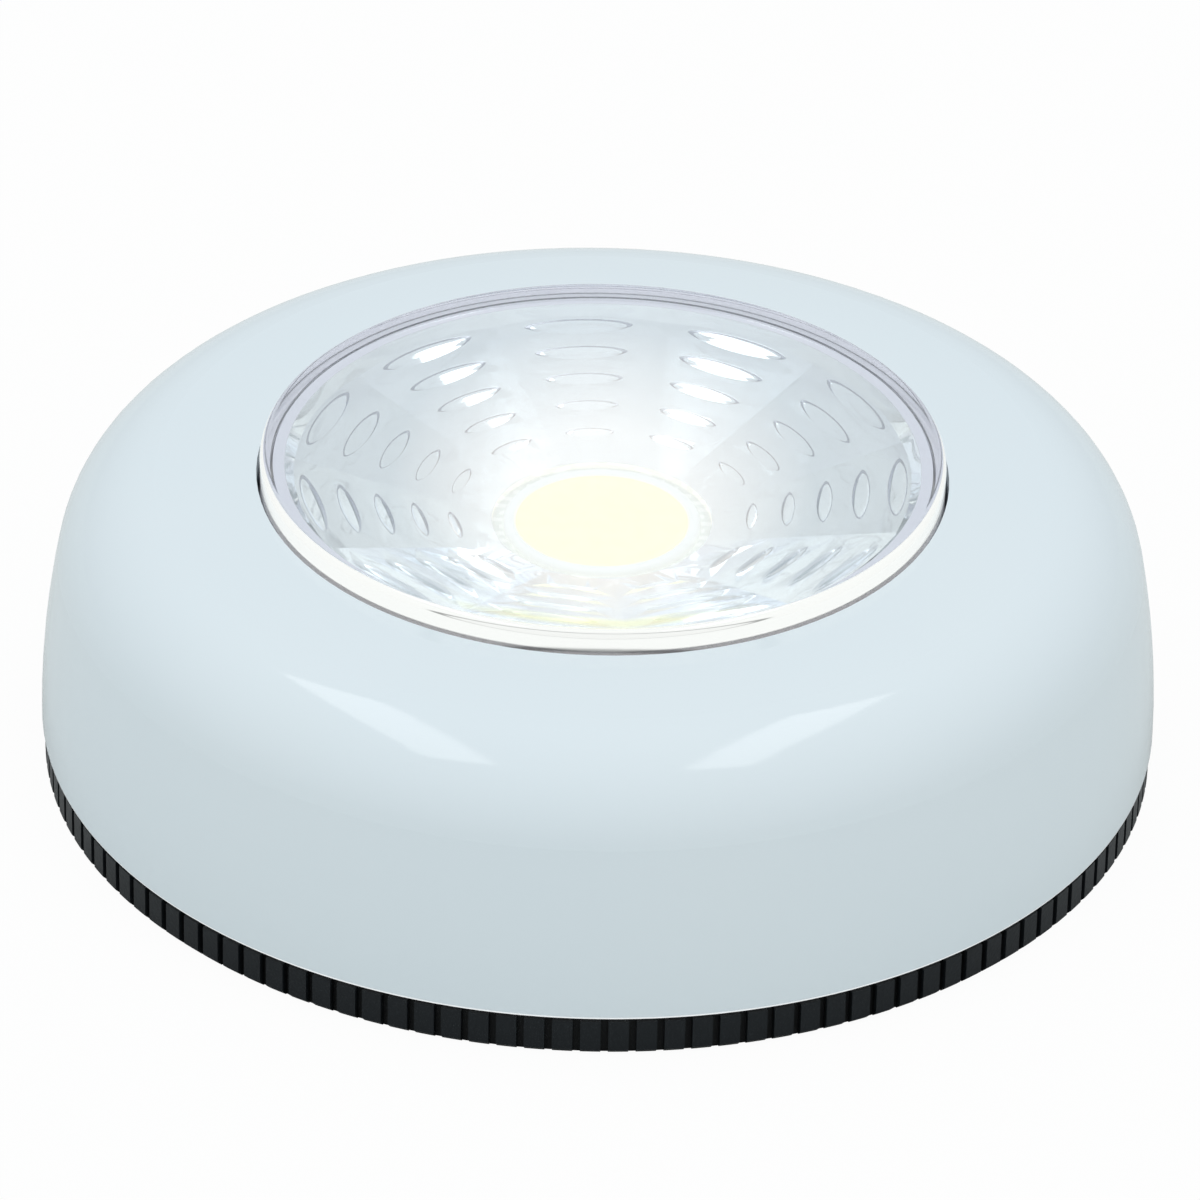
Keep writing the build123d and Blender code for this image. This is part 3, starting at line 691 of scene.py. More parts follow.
strip_finish = plated_metal("nickel_strip", "#C9C6BD", 0.3, strip_line_size)
wire_finish = plated_metal("spring_wire", "#B4B6B8", 0.28, wire_line_size)
screw_finish = plated_metal("zinc_plate", "#C2C5C8", 0.35, screw_line_size)
print("made the metals")

# %% [markdown]
# The boards are glass-filled laminate under a coat of solder mask, glossy and slightly
# uneven over the copper. A brick pattern stands in for the tracks: its joints are raised
# and show the copper's shade. The gel's light soaks into the white board and the
# silicone dam next to it, so both glow.

# %% Boards
track_pitch = 4 * mm
track_width_share = 0.06
track_height = 0.03 * mm
soaked_glow = 0.24


def solder_mask(name, hex_code, copper_hex):
    """Board lacquer with tracks under it."""
    material, shader = new_finish(name, hex_code, 0.35, ior=1.55)
    place = add_node(material, "ShaderNodeTexCoord").outputs["Object"]
    tracks = add_node(
        material, "ShaderNodeTexBrick",
        {"Vector": place, "Scale": 1 / track_pitch, "Mortar Size": track_width_share,
         "Color1": linear(hex_code), "Color2": linear(hex_code), "Mortar": linear(copper_hex)})
    join(material, tracks.outputs["Color"], shader, "Base Color")
    skin = add_node(
        material, "ShaderNodeBump",
        {"Height": tracks.outputs["Fac"], "Distance": track_height, "Strength": 1.0})
    join(material, skin.outputs["Normal"], shader, "Normal")
    return material


board_finish = solder_mask("green_solder_mask", "#2E5B3C", "#3C7550")
lamp_board_finish = solder_mask("white_solder_mask", "#EDEEE9", "#E0E3DC")
for lit_finish in (lamp_board_finish, dam_finish):
    lit_shader = lit_finish.node_tree.nodes["Principled BSDF"]
    lit_shader.inputs["Emission Color"].default_value = linear("#FDFDF8")
    lit_shader.inputs["Emission Strength"].default_value = soaked_glow
print("made", board_finish.name, "and", lamp_board_finish.name)

# %% [markdown]
# The cells wear a shrunk film with a metallic sheen, green with one pale band near the
# positive end. A colour ramp along the cell's length, with hard steps, prints the band.

# %% Cell film
band_start_share = 0.74
band_end_share = 0.8
film_ripple_size = 3 * mm
film_ripple_depth = 0.01 * mm


def cell_film(cell_start, cell_length):
    """Green film with a pale band near the positive end."""
    material, shader = new_finish("cell_film", "#3E6E52", 0.32, ior=1.5, metallic=0.3)
    place = add_node(material, "ShaderNodeTexCoord").outputs["Object"]
    along = add_node(material, "ShaderNodeSeparateXYZ", {0: place}).outputs["Y"]
    length_share = add_node(
        material, "ShaderNodeMapRange",
        {"Value": along, "From Min": cell_start, "From Max": cell_start + cell_length})
    bands = add_node(material, "ShaderNodeValToRGB", {"Fac": length_share.outputs["Result"]})
    ramp = bands.color_ramp
    ramp.interpolation = "CONSTANT"
    ramp.elements[0].color = linear("#3E6E52")
    ramp.elements[1].position = band_start_share
    ramp.elements[1].color = linear("#C9D2C4")
    late = ramp.elements.new(band_end_share)
    late.color = linear("#3E6E52")
    join(material, bands.outputs["Color"], shader, "Base Color")
    relief(material, shader, place, film_ripple_size, film_ripple_depth, detail=2.0)
    return material


cell_low, cell_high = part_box("cell_middle")
cell_finish = cell_film(cell_low.y, cell_high.y - cell_low.y)
print("made", cell_finish.name)

# %% [markdown]
# The pad that sticks the light up is closed-cell foam, a little over half a millimetre
# thick, with the small open bubbles that the knife leaves on its cut face. A Voronoi
# texture gives each bubble a hollow, with painted shade in its middle.

# %% Closed-cell foam
bubble_size = 0.5 * mm
bubble_depth = 0.08 * mm
bubble_edge = 0.6


def closed_cell_foam():
    """Black foam with open bubbles."""
    material, shader = new_finish("closed_cell_foam", "#2A2B2C", 0.85, ior=1.45)
    place = add_node(material, "ShaderNodeTexCoord").outputs["Object"]
    bubbles = add_node(material, "ShaderNodeTexVoronoi", {"Vector": place, "Scale": 1 / bubble_size})
    skin = add_node(
        material, "ShaderNodeBump",
        {"Height": bubbles.outputs["Distance"], "Distance": bubble_depth, "Strength": 1.0})
    join(material, skin.outputs["Normal"], shader, "Normal")
    out_of_bubble_shade = add_node(
        material, "ShaderNodeMapRange",
        {"Value": bubbles.outputs["Distance"], "From Max": bubble_edge})
    # Painted shade: the middle of each hollow is darker.
    tone = add_node(
        material, "ShaderNodeMix",
        {mix_share: out_of_bubble_shade.outputs["Result"], mix_first: linear("#1F2021"),
         mix_second: linear("#303233")}, data_type="RGBA")
    join(material, tone.outputs[mix_result], shader, "Base Color")
    return material


foam_finish = closed_cell_foam()
print("made", foam_finish.name)

# %% [markdown]
# Each solid now gets its finish. A solid's mesh stays as it is, so only its material
# slots change.

# %% Dress the solids
finishes = {
    "base_cover": base_finish, "adhesive_pad": foam_finish, "housing_shell": housing_finish,
    "battery_tray": tray_finish, "cell_left": cell_finish, "cell_middle": cell_finish,
    "cell_right": cell_finish, "positive_terminal": strip_finish, "negative_terminal": strip_finish,
    "rear_bridge": strip_finish, "front_bridge": strip_finish, "contact_springs": wire_finish,
    "switch_board": board_finish, "switch_case": switch_finish, "tray_screws": screw_finish,
    "board_screws": screw_finish, "positive_wire": red_finish, "negative_wire": black_finish,
    "led_leads": red_finish, "return_springs": wire_finish, "lens": lens_finish,
    "reflector": bowl_finish, "led_board": lamp_board_finish, "led_dam": dam_finish,
    "led_disc": lamp_finish, "button_carrier": carrier_finish, "switch_plunger": plunger_finish,
}


def dress(piece, material):
    """Give a piece one finish all over."""
    piece.data.materials.clear()
    piece.data.materials.append(material)


for name, material in finishes.items():
    dress(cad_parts[name], material)
print("dressed", len(finishes), "solids")

# %% [markdown]
# The reflector is a shallow bowl of eleven flat facets, each with five leaf-shaped
# pockets, and it ends in a smooth flared edge under the clear cap. The flats could be cut
# from a turned bowl, but each pocket would still have to be laid on its own slope. One
# facet that is built from its sizes and then spun round is shorter, and all come out
# alike.

# %% Sizes of the bowl
facet_count = 11
facet_half_angle = pi / facet_count
facet_turn = radians(5.5)
hole_radius = 8.3 * mm
hole_wall = 1.1 * mm
facet_reach = 23.25 * mm
flange_height = 1.9 * mm
facet_foot_rise = 0.5 * mm
facet_foot_z = bowl_low.z + facet_foot_rise
facet_rise = 4.3 * mm
facet_slope = facet_rise / (facet_reach - hole_radius)
facet_normal = Vector((0, -facet_slope, 1)).normalized()

row_count = 5
first_row = 11.3 * mm
last_row = 22.2 * mm
row_pitch = (last_row - first_row) / (row_count - 1)
pocket_length_share = 0.68
pocket_shortening_share = 0.02
pocket_width = 1.5 * mm
pocket_narrowing = 0.16 * mm
pocket_depth = 0.07 * mm
pocket_lean = sin(radians(8.5))
pocket_trough_radius = 87 * mm
pocket_floor_shares = (0.89, 0.6, 0.25)
pocket_point = 1.25
pocket_edge_round = 0.02 * mm
pocket_corners = 28
print("facet slope", round(facet_slope, 3), "rows", row_count)

# %% [markdown]
# A band of the facet is a frame of corners with a pocket inside it. The pocket's loops
# start as circles, are squeezed to a leaf, and are laid on the facet. Its floor is a
# shallow trough that leans towards the lamp, so it mirrors another part of the room than
# the facet does. That is why some pockets light up, and others only at one end.

# %% Outlines of one band
def on_facet(across, out):
    """Place on the facet that faces the back, by its distance across and out from the axis."""
    return Vector((across, out, facet_foot_z + (out - hole_radius) * facet_slope))


def band_corners(inner, outer, inner_steps, outer_steps):
    """Places round the band: out along its inner side and back along its outer one."""
    corners = []
    for step in range(inner_steps + 1):
        side_share = 2 * step / inner_steps - 1
        corners.append(on_facet(side_share * inner * tan(facet_half_angle), inner))
    for step in range(outer_steps + 1):
        side_share = 1 - 2 * step / outer_steps
        if outer_steps == 1:
            corners.append(on_facet(side_share * outer * tan(facet_half_angle), outer))
        else:
            turn = side_share * facet_half_angle
            corners.append(on_facet(outer * sin(turn), outer * cos(turn)))
    return corners


def closed_line(mesh, corners):
    """Edges round the corners."""
    points = [mesh.verts.new(corner) for corner in corners]
    return [mesh.edges.new((points[place - 1], points[place])) for place in range(len(points))]


def pocket_loop(mesh, row, length, width, share):
    """Leaf-shaped loop of a pocket: its rim at share 1, and on its trough of a floor below that."""
    loop = bmesh.ops.create_circle(mesh, segments=pocket_corners, radius=share)["verts"]
    for point in loop:
        side = -1 if point.co.y < 0 else 1
        across = point.co.x * length / 2
        along = side * abs(point.co.y) ** pocket_point * width / 2
        point.co = on_facet(across, row + along)
        if share < 1:
            sag = ((length / 2) ** 2 - across ** 2) / (2 * pocket_trough_radius)
            point.co -= (pocket_depth + sag - along * pocket_lean) * facet_normal
    return list({edge for point in loop for edge in point.link_edges})


print("foot of the facet at", [round(side / mm, 2) for side in on_facet(0, hole_radius)], "mm")

# %% [markdown]
# Bridges fill the space between the frame, the rim and the loops of the floor. A bridge
# copies the finish of a face beside it, so each new face is given its place in the list
# of finishes: 1 for the dull wall with its painted shade, and 0 for all the rest. The rim gets a fine
# round, because a moulded edge is never sharp and catches a thin line of light. Edges
# that run out along the facet's sides stay sharp, and those between two bands are smooth.

# %% Fill one band
coat_place = 0
shaded_wall_place = 1
side_edge_reach = 0.3 * mm


def add_band(mesh, inner, outer, row, length, width, inner_steps=1, outer_steps=1):
    """One band of the facet, with its pocket."""
    frame_edges = closed_line(mesh, band_corners(inner, outer, inner_steps, outer_steps))
    for edge in frame_edges:
        ends = [hypot(point.co.x, point.co.y) for point in edge.verts]
        edge.smooth = abs(ends[0] - ends[1]) < side_edge_reach
    loops = [pocket_loop(mesh, row, length, width, share) for share in (1.0, *pocket_floor_shares)]
    for outside, inside in zip([frame_edges] + loops, loops):
        made = bmesh.ops.bridge_loops(mesh, edges=outside + inside)
        for face in made["faces"]:
            face.material_index = shaded_wall_place if outside is loops[0] else coat_place
    middle = bmesh.ops.contextual_create(mesh, geom=loops[-1])["faces"][0]
    middle.material_index = coat_place
    bmesh.ops.bevel(mesh, geom=loops[0], offset=pocket_edge_round, offset_type="OFFSET", segments=2,
                    profile=0.5, affect="EDGES", material=-1)


print("each band has a pocket with", pocket_corners, "corners")

# %% [markdown]
# The ring of facets is a sheet with an open edge outside and another inside. An open ring
# of edges, extruded and moved to a new radius and height, carries the sheet on: out to
# the flared edge and the flange, and down round the hole for the lamp.

# %% Open rings of edges
def open_loop(mesh, low_radius, high_radius):
    """Open edges whose ends lie between two distances from the axis."""
    return [edge for edge in mesh.edges if edge.is_boundary
            and all(low_radius < hypot(point.co.x, point.co.y) < high_radius for point in edge.verts)]


def run_out(mesh, edges, radius, height):
    """Extrude a ring of edges to a new radius and height, and give back the new ring."""
    made = bmesh.ops.extrude_edge_only(mesh, edges=edges)["geom"]
    for point in made:
        if isinstance(point, bmesh.types.BMVert):
            reach = hypot(point.co.x, point.co.y)
            point.co.x *= radius / reach
            point.co.y *= radius / reach
            point.co.z = height
    points = {point for point in made if isinstance(point, bmesh.types.BMVert)}
    return [edge for edge in made if isinstance(edge, bmesh.types.BMEdge)
            and all(point in points for point in edge.verts)]


print("the facets end at", facet_reach / mm, "mm and the flange at", round(bowl_high.x / mm, 2), "mm")

# %% [markdown]
# One facet, spun by ten more steps, gives the ring of eleven, and a small turn brings its
# facets to where the real bowl has them. Its seams lie on each other, so the doubles are
# merged. Then the outer ring runs out over the edge and back under the flange, the inner
# ring runs down the hole's wall, and a bridge underneath closes the body. At the end the
# normals are turned outwards.

# %% Spin the facet and close the bowl
inner_corner_steps = 8
outer_arc_steps = 12
weld_reach = 0.002 * mm
outer_ring_slack = 0.5 * mm
inner_ring_slack = 0.1 * mm
inner_ring_width = 0.6 * mm


def build_bowl():
    """Reflector bowl with a pocketed facet for each sector."""
    bowl = bmesh.new()
    rows = [first_row + place * row_pitch for place in range(row_count)]
    limits = [hole_radius] + [row + row_pitch / 2 for row in rows[:-1]] + [facet_reach]
    for place, row in enumerate(rows):
        rows_out = row_count - 1 - place
        width = pocket_width - pocket_narrowing * rows_out
        length_share = pocket_length_share - pocket_shortening_share * rows_out
        length = 2 * row * sin(facet_half_angle) * length_share
        add_band(bowl, limits[place], limits[place + 1], row, length, width,
                 inner_steps=inner_corner_steps if place == 0 else 1,
                 outer_steps=outer_arc_steps if place == row_count - 1 else 1)
    bmesh.ops.spin(bowl, geom=bowl.verts[:] + bowl.edges[:] + bowl.faces[:], cent=(0, 0, 0),
                   axis=(0, 0, 1), angle=tau * (facet_count - 1) / facet_count,
                   steps=facet_count - 1, use_duplicate=True)
    bmesh.ops.rotate(bowl, verts=bowl.verts, cent=(0, 0, 0), matrix=Matrix.Rotation(facet_turn, 3, "Z"))
    bmesh.ops.remove_doubles(bowl, verts=bowl.verts, dist=weld_reach)
    outside = open_loop(bowl, facet_reach - outer_ring_slack, bowl_high.x)
    for edge in outside:
        edge.smooth = False
    outside = run_out(bowl, outside, bowl_edge_radius, bowl_high.z)
    outside = run_out(bowl, outside, bowl_high.x, bowl_high.z)
    outside = run_out(bowl, outside, bowl_high.x, bowl_high.z - flange_height)
    outside = run_out(bowl, outside, facet_reach, bowl_high.z - flange_height)
    innermost = hole_radius - inner_ring_slack
    inside = open_loop(bowl, innermost, innermost + inner_ring_width)
    inside = run_out(bowl, inside, hole_radius, facet_foot_z)
    inside = run_out(bowl, inside, hole_radius, bowl_low.z)
    inside = run_out(bowl, inside, hole_radius + hole_wall, bowl_low.z)
    bmesh.ops.bridge_loops(bowl, edges=outside + inside)
    bmesh.ops.recalc_face_normals(bowl, faces=bowl.faces)
    return bowl


bowl_mesh = build_bowl()
loose_ends = [edge for edge in bowl_mesh.edges if not edge.is_manifold]
print("edges that don't join two faces:", len(loose_ends))

# %% [markdown]
# A finished mesh becomes a piece: an object with its finish, on the body that carries it,
# in place of its solid. It is shaded smooth, but its marked edges and those over a sharp
# angle stay edges. Weighted normals let the wide flats keep their own direction next to
# the fine rounds, so each facet mirrors as a flat.

# %% The bowl as a piece
flat_sharp_angle = radians(40)


def new_piece(name, mesh, material, body):
    """Object from a bmesh, with its finish, on its body if it rides on only one."""
    data = bpy.data.meshes.new(name)
    mesh.to_mesh(data)
    mesh.free()
    piece = bpy.data.objects.new(name, data)
    bpy.context.scene.collection.objects.link(piece)
    data.materials.append(material)
    if body:
        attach(piece, body)
    print(name, "has", len(data.polygons), "faces")
    return piece


def shade(piece, sharp_angle):
    """Smooth the piece, but keep its marked edges and those over an angle sharp."""
    data = piece.data
    data.polygons.foreach_set("use_smooth", [True] * len(data.polygons))
    marked = [edge.index for edge in data.edges if edge.use_edge_sharp]
    data.set_sharp_from_angle(angle=sharp_angle)
    for place in marked:
        data.edges[place].use_edge_sharp = True
    keep_flat = piece.modifiers.new("keep_flat", "WEIGHTED_NORMAL")
    keep_flat.keep_sharp = True


bowl = new_piece("reflector_bowl", bowl_mesh, bowl_finish, "button")
bowl.data.materials.append(wall_finish)
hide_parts("reflector")
shade(bowl, flat_sharp_angle)

# %% [markdown]
# The clear cap is a turned shape, so its section is drawn once and spun. Its outer corner
# is rounded by a bevel on one point, which in a flat section does what a fillet does in a
# drawing.

# %% Clear cap
cap_crown = 0.1 * mm
cap_round = 0.6 * mm
cap_seat_gap = 0.04 * mm
lens_plate = 2.7 * mm
cap_plate = lens_plate - cap_seat_gap
cap_wall = 0.8 * mm
cap_crown_steps = 4
cap_turn_steps = 192
cap_sharp_angle = radians(30)


def turned(places, rounds, steps, closed=False):
    """Spin a section of (distance from the axis, height) points. Each round is a (point, offset) pair."""
    mesh = bmesh.new()
    points = [mesh.verts.new((reach, 0, height)) for reach, height in places]
    pairs = list(zip(points, points[1:]))
    if closed:
        pairs.append((points[-1], points[0]))
    for pair in pairs:
        mesh.edges.new(pair)
    for place, offset in rounds:
        bmesh.ops.bevel(mesh, geom=[points[place]], offset=offset, segments=8, profile=0.5,
                        affect="VERTICES", material=-1)
    bmesh.ops.spin(mesh, geom=mesh.verts[:] + mesh.edges[:], cent=(0, 0, 0), axis=(0, 0, 1), angle=tau,
                   steps=steps, use_merge=True)
    bmesh.ops.remove_doubles(mesh, verts=mesh.verts, dist=weld_reach)
    bmesh.ops.recalc_face_normals(mesh, faces=mesh.faces)
    return mesh


def build_cap():
    """Crowned cap with a wall."""
    radius = lens_high.x
    top = lens_high.z
    under = top - cap_plate
    foot = lens_low.z + cap_seat_gap
    shares = [step / cap_crown_steps for step in range(cap_crown_steps + 1)]
    crown = [(share * radius, top - cap_crown * share ** 2) for share in shares]
    wall = [(radius, foot), (radius - cap_wall, foot), (radius - cap_wall, under), (0, under)]
    return turned(crown + wall, [(len(crown) - 1, cap_round)], cap_turn_steps)


cap_mesh = build_cap()
print("open edges:", len([edge for edge in cap_mesh.edges if not edge.is_manifold]))
cap = new_piece("clear_cap", cap_mesh, lens_finish, "button")
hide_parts("lens")
shade(cap, cap_sharp_angle)

# %% [markdown]
# The lamp is made by hand with a dispenser. First a bead of white silicone is laid on the
# board as a dam, and it sets with a round back. Then the gel is poured inside it, and
# while it is wet it creeps a little way up the dam, so its edge is higher than its
# middle. Both are turned shapes, like the cap.

# %% Lamp gel and its dam
gel_low, gel_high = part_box("led_disc")
gel_creep = 0.6 * mm
gel_hollow = 0.1 * mm
creep_bend_share = 1 / 3
dam_back_round = 0.4 * mm
lamp_turn_steps = 96
round_sharp_angle = radians(50)


def build_gel():
    """Disc of gel whose rim stands a little proud."""
    radius = gel_high.x
    level = gel_high.z - gel_hollow
    bend = (radius - creep_bend_share * gel_creep, level + creep_bend_share * gel_hollow)
    places = [(0, level), (radius - gel_creep, level), bend, (radius, gel_high.z),
              (radius, gel_low.z), (0, gel_low.z)]
    return turned(places, [], lamp_turn_steps)


def build_dam():
    """Bead with a round back."""
    inner = gel_high.x
    places = [(inner, dam_low.z), (dam_high.x, dam_low.z), (dam_high.x, dam_high.z), (inner, dam_high.z)]
    return turned(places, [(2, dam_back_round), (3, dam_back_round)], lamp_turn_steps, closed=True)


gel = new_piece("phosphor_gel", build_gel(), lamp_finish, "button")
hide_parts("led_disc")
shade(gel, round_sharp_angle)
dam = new_piece("silicone_dam", build_dam(), dam_finish, "button")
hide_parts("led_dam")
shade(dam, round_sharp_angle)

# %% [markdown]
# The four return springs are wound from drawn wire. The first and the last turn lie
# close, as the ends of a pressed spring do, so that it stands straight, and the turns
# between them are open. A small circle is spun with a rise at each step, once for each
# of those three stretches.

# %% Wind a spring
spring_low, spring_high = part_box("return_springs")
spring_wire = 0.5 * mm
spring_radius = 1.85 * mm
spring_turns = 5
spring_end_rise = 0.53 * mm
spring_steps = 28
spring_wire_corners = 10
spring_height = spring_high.z - spring_low.z


def wind(mesh, section, turns, rise):
    """Spin a section by whole turns, rising as it goes, and give back the last section."""
    steps = turns * spring_steps
    made = bmesh.ops.spin(mesh, geom=section, cent=(0, 0, 0), axis=(0, 0, 1), angle=turns * tau,
                          steps=steps, dvec=(0, 0, rise / steps))
    return made["geom_last"]


def build_spring():
    """Compression spring round the axis, standing on the ground plane, with closed ends."""
    mesh = bmesh.new()
    circle = bmesh.ops.create_circle(mesh, segments=spring_wire_corners, radius=spring_wire / 2)["verts"]
    bmesh.ops.rotate(mesh, verts=circle, cent=(0, 0, 0), matrix=Matrix.Rotation(pi / 2, 3, "X"))
    bmesh.ops.translate(mesh, verts=circle, vec=(spring_radius, 0, spring_wire / 2))
    section = circle + list({edge for point in circle for edge in point.link_edges})
    open_rise = spring_height - spring_wire - 2 * spring_end_rise
    bmesh.ops.contextual_create(mesh, geom=section)
    section = wind(mesh, section, 1, spring_end_rise)
    section = wind(mesh, section, spring_turns - 2, open_rise)
    section = wind(mesh, section, 1, spring_end_rise)
    bmesh.ops.contextual_create(mesh, geom=section)
    return mesh


print("a spring is", round(spring_height / mm, 2), "mm high")

# %% [markdown]
# One spring is wound, moved to its guide post and copied to the others, first to the left
# and then both to the front. When the button goes down a spring only gets shorter.

# %% Four return springs
post_x = spring_high.x - spring_radius - spring_wire / 2
post_y = spring_high.y - spring_radius - spring_wire / 2


def add_copy(mesh, shift):
    """Copy all that the mesh holds, and move the copy."""
    everything = mesh.verts[:] + mesh.edges[:] + mesh.faces[:]
    copy = bmesh.ops.duplicate(mesh, geom=everything)["geom"]
    points = [item for item in copy if isinstance(item, bmesh.types.BMVert)]
    bmesh.ops.translate(mesh, verts=points, vec=shift)


def four_springs():
    """One spring round each guide post."""
    springs = build_spring()
    bmesh.ops.translate(springs, verts=springs.verts, vec=(post_x, post_y, spring_low.z))
    add_copy(springs, (-2 * post_x, 0, 0))
    add_copy(springs, (0, -2 * post_y, 0))
    bmesh.ops.recalc_face_normals(springs, faces=springs.faces)
    return springs


springs = new_piece("coil_springs", four_springs(), wire_finish, "housing")
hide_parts("return_springs")
shade(springs, round_sharp_angle)
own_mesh(springs)

# %% [markdown]
# Two thin wires carry the current up to the lamp. They bow outwards between the switch
# board and the lamp's board, so that they give when the button goes down. Each is a
# smooth spline with a round section, and it is turned into a mesh.

# %% Lamp leads
lead_low, lead_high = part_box("led_leads")
lead_radius = 0.5 * mm
lead_x = (lead_low.x + lead_high.x) / 2
lead_y = 1.3 * mm
lead_bow = 0.7 * mm
lead_line_shares = [(0, 0), (0.25, 0), (0.5, 1), (0.75, 0), (1, 0)]


def lead_line(side):
    """Round wire along a smooth spline, bowed to one side."""
    rise = lead_high.z - lead_low.z
    curve = bpy.data.curves.new("lead_line", "CURVE")
    curve.dimensions = "3D"
    curve.bevel_depth = lead_radius
    curve.bevel_resolution = 3
    curve.use_fill_caps = True
    spline = curve.splines.new("NURBS")
    spline.points.add(len(lead_line_shares) - 1)
    for point, (height_share, bow_share) in zip(spline.points, lead_line_shares):
        bowed_y = side * (lead_y + bow_share * lead_bow)
        point.co = (lead_x, bowed_y, lead_low.z + height_share * rise, 1)
    spline.order_u = 3
    spline.use_endpoint_u = True
    return curve


def build_leads():
    """Both wires as one mesh."""
    leads = bmesh.new()
    for side in (-1, 1):
        holder = bpy.data.objects.new("lead_holder", lead_line(side))
        data = bpy.data.meshes.new_from_object(holder)
        leads.from_mesh(data)
        bpy.data.objects.remove(holder)
    bmesh.ops.recalc_face_normals(leads, faces=leads.faces)
    return leads


leads = new_piece("lamp_leads", build_leads(), red_finish, None)
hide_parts("led_leads")
shade(leads, round_sharp_angle)

# %% [markdown]
# The solder at the foot of each lead wets the copper and draws up the wire in a cone. It
# is a turned shape again, made once and copied to the other lead. The wire is stiff up to
# the top of the solder.

# %% Solder at the leads
solder_radius = 0.8 * mm
solder_height = 0.7 * mm
solder_bend_radius_share = 0.75
solder_bend_height_share = 1 / 3
solder_turn_steps = 32
solder_top = lead_low.z + solder_height


def build_solder():
    """Cone of solder round the foot of each wire."""
    bend = (solder_bend_radius_share * solder_radius,
            lead_low.z + solder_bend_height_share * solder_height)
    places = [(0, lead_low.z), (solder_radius, lead_low.z), bend, (lead_radius, solder_top),
              (0, solder_top)]
    cone = turned(places, [], solder_turn_steps)
    bmesh.ops.translate(cone, verts=cone.verts, vec=(lead_x, lead_y, 0))
    add_copy(cone, (0, -2 * lead_y, 0))
    return cone


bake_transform(leads)
solder = new_piece("lead_solder", build_solder(), strip_finish, "housing")
shade(solder, round_sharp_angle)

# %% [markdown]
# The pad that sticks the light up is punched from a sheet of foam tape. The punch drags
# the soft rim down with it, so both of its edges come out round. A disc with bevelled
# rims would do. Here the section with two rounded corners is turned like the cap's,
# because the function is at hand.

# %% Foam pad
pad_low, pad_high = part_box("adhesive_pad")
pad_edge_round = 0.15 * mm
pad_turn_steps = 160


def build_pad():
    """Round pad with soft edges."""
    places = [(0, pad_low.z), (pad_high.x, pad_low.z), (pad_high.x, pad_high.z), (0, pad_high.z)]
    return turned(places, [(1, pad_edge_round), (2, pad_edge_round)], pad_turn_steps)


pad = new_piece("foam_pad", build_pad(), foam_finish, "base")
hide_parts("adhesive_pad")
shade(pad, flat_sharp_angle)

# %% [markdown]
# The set is a pale floor under a white sky. The floor keeps the light's shadow, and the
# camera sees it nearly white, because its paper is mixed with a plain white glow for the
# rays that come from the camera. It lies a hair below the underside, so that the two
# faces don't flicker into each other in a view from below.

# %% Floor
floor_half_side = 6.0
floor_gap = 0.05 * mm
floor_glow_share = 0.96
floor_mesh = bmesh.new()
bmesh.ops.create_grid(floor_mesh, x_segments=1, y_segments=1, size=floor_half_side)
bmesh.ops.translate(floor_mesh, verts=floor_mesh.verts, vec=(0, 0, -floor_gap))
floor_data = bpy.data.meshes.new("floor")
floor_mesh.to_mesh(floor_data)
floor_mesh.free()
floor = bpy.data.objects.new("floor", floor_data)
bpy.context.scene.collection.objects.link(floor)


def white_floor():
    """Pale floor that the camera sees as white where no shadow falls."""
    material, shader = new_finish("floor_paper", "#DDDFDD", 0.9)
    shader.inputs["Specular IOR Level"].default_value = 0.0
    sight = add_node(material, "ShaderNodeLightPath")
    glow = add_node(material, "ShaderNodeEmission", {"Strength": 1.0})
    share = add_node(
        material, "ShaderNodeMath", {0: sight.outputs["Is Camera Ray"], 1: floor_glow_share},
        operation="MULTIPLY")
    mix = add_node(
        material, "ShaderNodeMixShader", {0: share.outputs[0], 1: shader.outputs[0], 2: glow.outputs[0]})
    output = material.node_tree.nodes["Material Output"]
    material.node_tree.links.new(mix.outputs[0], output.inputs["Surface"])
    return material


dress(floor, white_floor())
print("the floor is", 2 * floor_half_side, "m wide")

# %% [markdown]
# The sky is brightest a little in front of the zenith and falls off towards the horizon,
# most of all behind the light. The direction of a ray, multiplied with the brightest
# direction, says how near it comes to that. The sky is a little dimmer as a lamp than in
# a mirror, so that the plastic keeps its colour.

# %% Sky
brightest_direction = (0, -0.3, 0.95)
sky_dark_end = -0.3
sky_dark_level = 0.65
sky_bright_level = 1.15
sky_lamp_share = 0.88

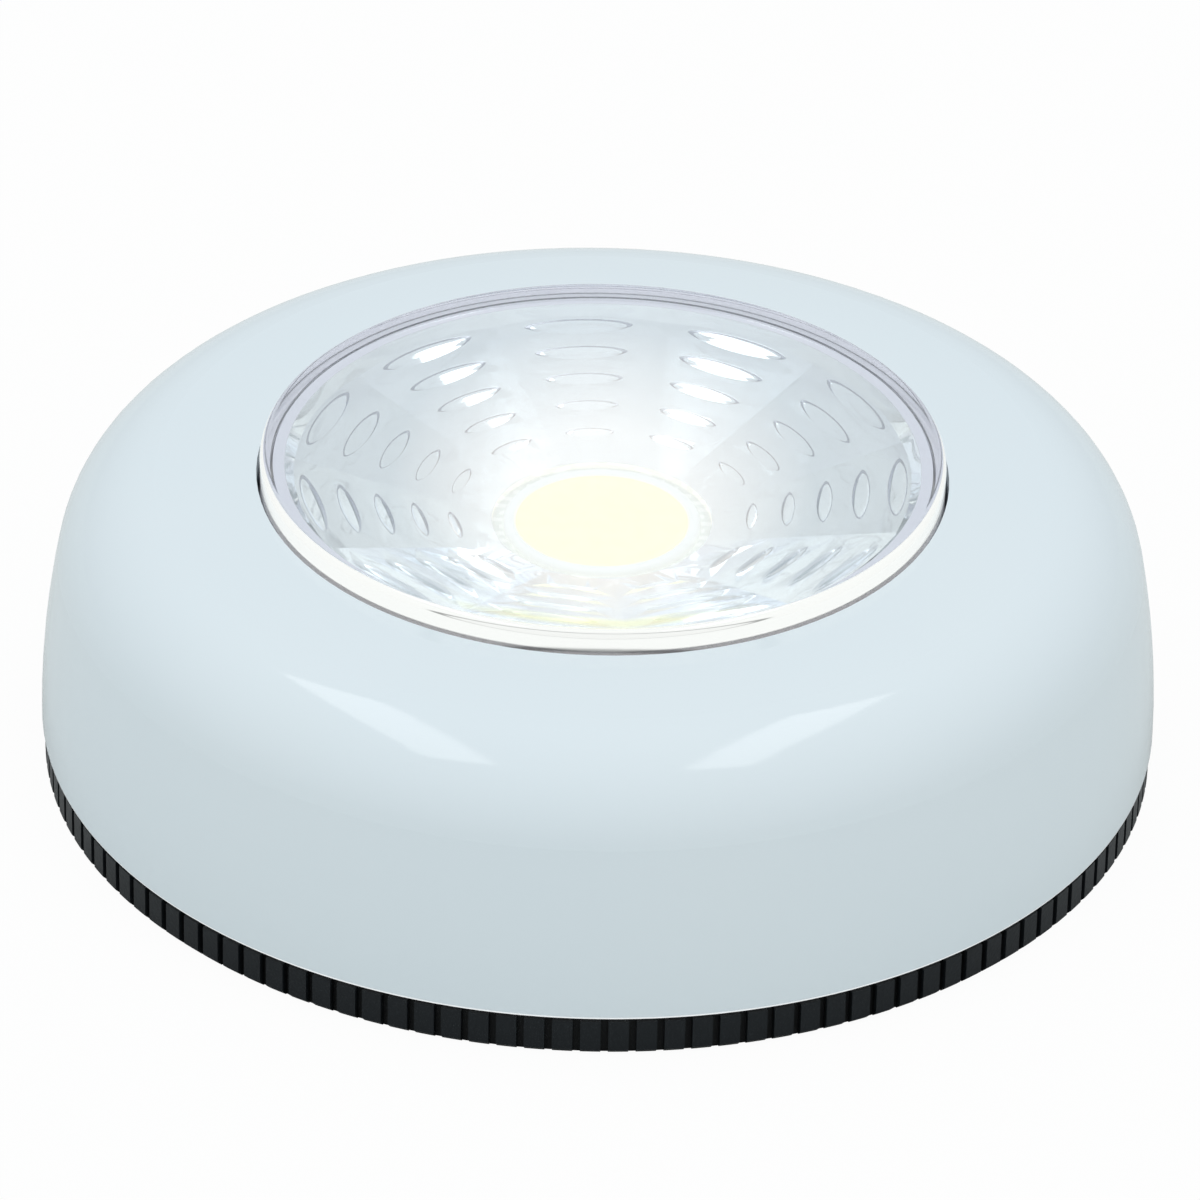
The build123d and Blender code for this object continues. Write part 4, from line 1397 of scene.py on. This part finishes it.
world = bpy.data.worlds.new("studio")
world.use_nodes = True
bpy.context.scene.world = world
sky = world.node_tree.nodes["Background"]
sky.inputs["Color"].default_value = linear("#F4F8FB")
sky_place = add_node(world, "ShaderNodeTexCoord").outputs["Generated"]
nearness = add_node(
    world, "ShaderNodeVectorMath", {0: sky_place, 1: brightest_direction}, operation="DOT_PRODUCT")
mirrored_level = add_node(
    world, "ShaderNodeMapRange",
    {"Value": nearness.outputs["Value"], "From Min": sky_dark_end, "To Min": sky_dark_level,
     "To Max": sky_bright_level})
as_lamp = add_node(world, "ShaderNodeLightPath").outputs["Is Diffuse Ray"]
lamp_level = add_node(
    world, "ShaderNodeMapRange", {"Value": as_lamp, "To Min": 1.0, "To Max": sky_lamp_share})
sky_level = add_node(
    world, "ShaderNodeMath",
    {0: mirrored_level.outputs["Result"], 1: lamp_level.outputs["Result"]}, operation="MULTIPLY")
world.node_tree.links.new(sky_level.outputs[0], sky.inputs["Strength"])
print("the sky's level runs from", sky_dark_level, "to", sky_bright_level)

# %% [markdown]
# Two long softboxes hang over the light, one on each side, and give the leaf-shaped
# reflections on the front shoulder. Their places and sizes follow the height that they
# hang at, because a mirror shows only the angles. They look straight down, which is how
# a flat lamp starts out.

# %% Softboxes
box_height = 1.5
box_length_share = 0.86
box_middle_share = 0.06
left_box_share = -0.37
left_width_share = 0.22
left_box_power = 2.3
right_box_share = 0.325
right_width_share = 0.19
right_box_power = 2.0


def softbox(name, side_share, width_share, power):
    """Flat lamp over the light, turned down."""
    lamp_data = bpy.data.lights.new(name, "AREA")
    lamp_data.shape = "RECTANGLE"
    lamp_data.size = width_share * box_height
    lamp_data.size_y = box_length_share * box_height
    lamp_data.energy = power
    lamp = bpy.data.objects.new(name, lamp_data)
    bpy.context.scene.collection.objects.link(lamp)
    lamp.location = (side_share * box_height, box_middle_share * box_height, box_height)
    return lamp


softbox("left_softbox", left_box_share, left_width_share, left_box_power)
softbox("right_softbox", right_box_share, right_width_share, right_box_power)
print("softboxes hung at", box_height, "m")
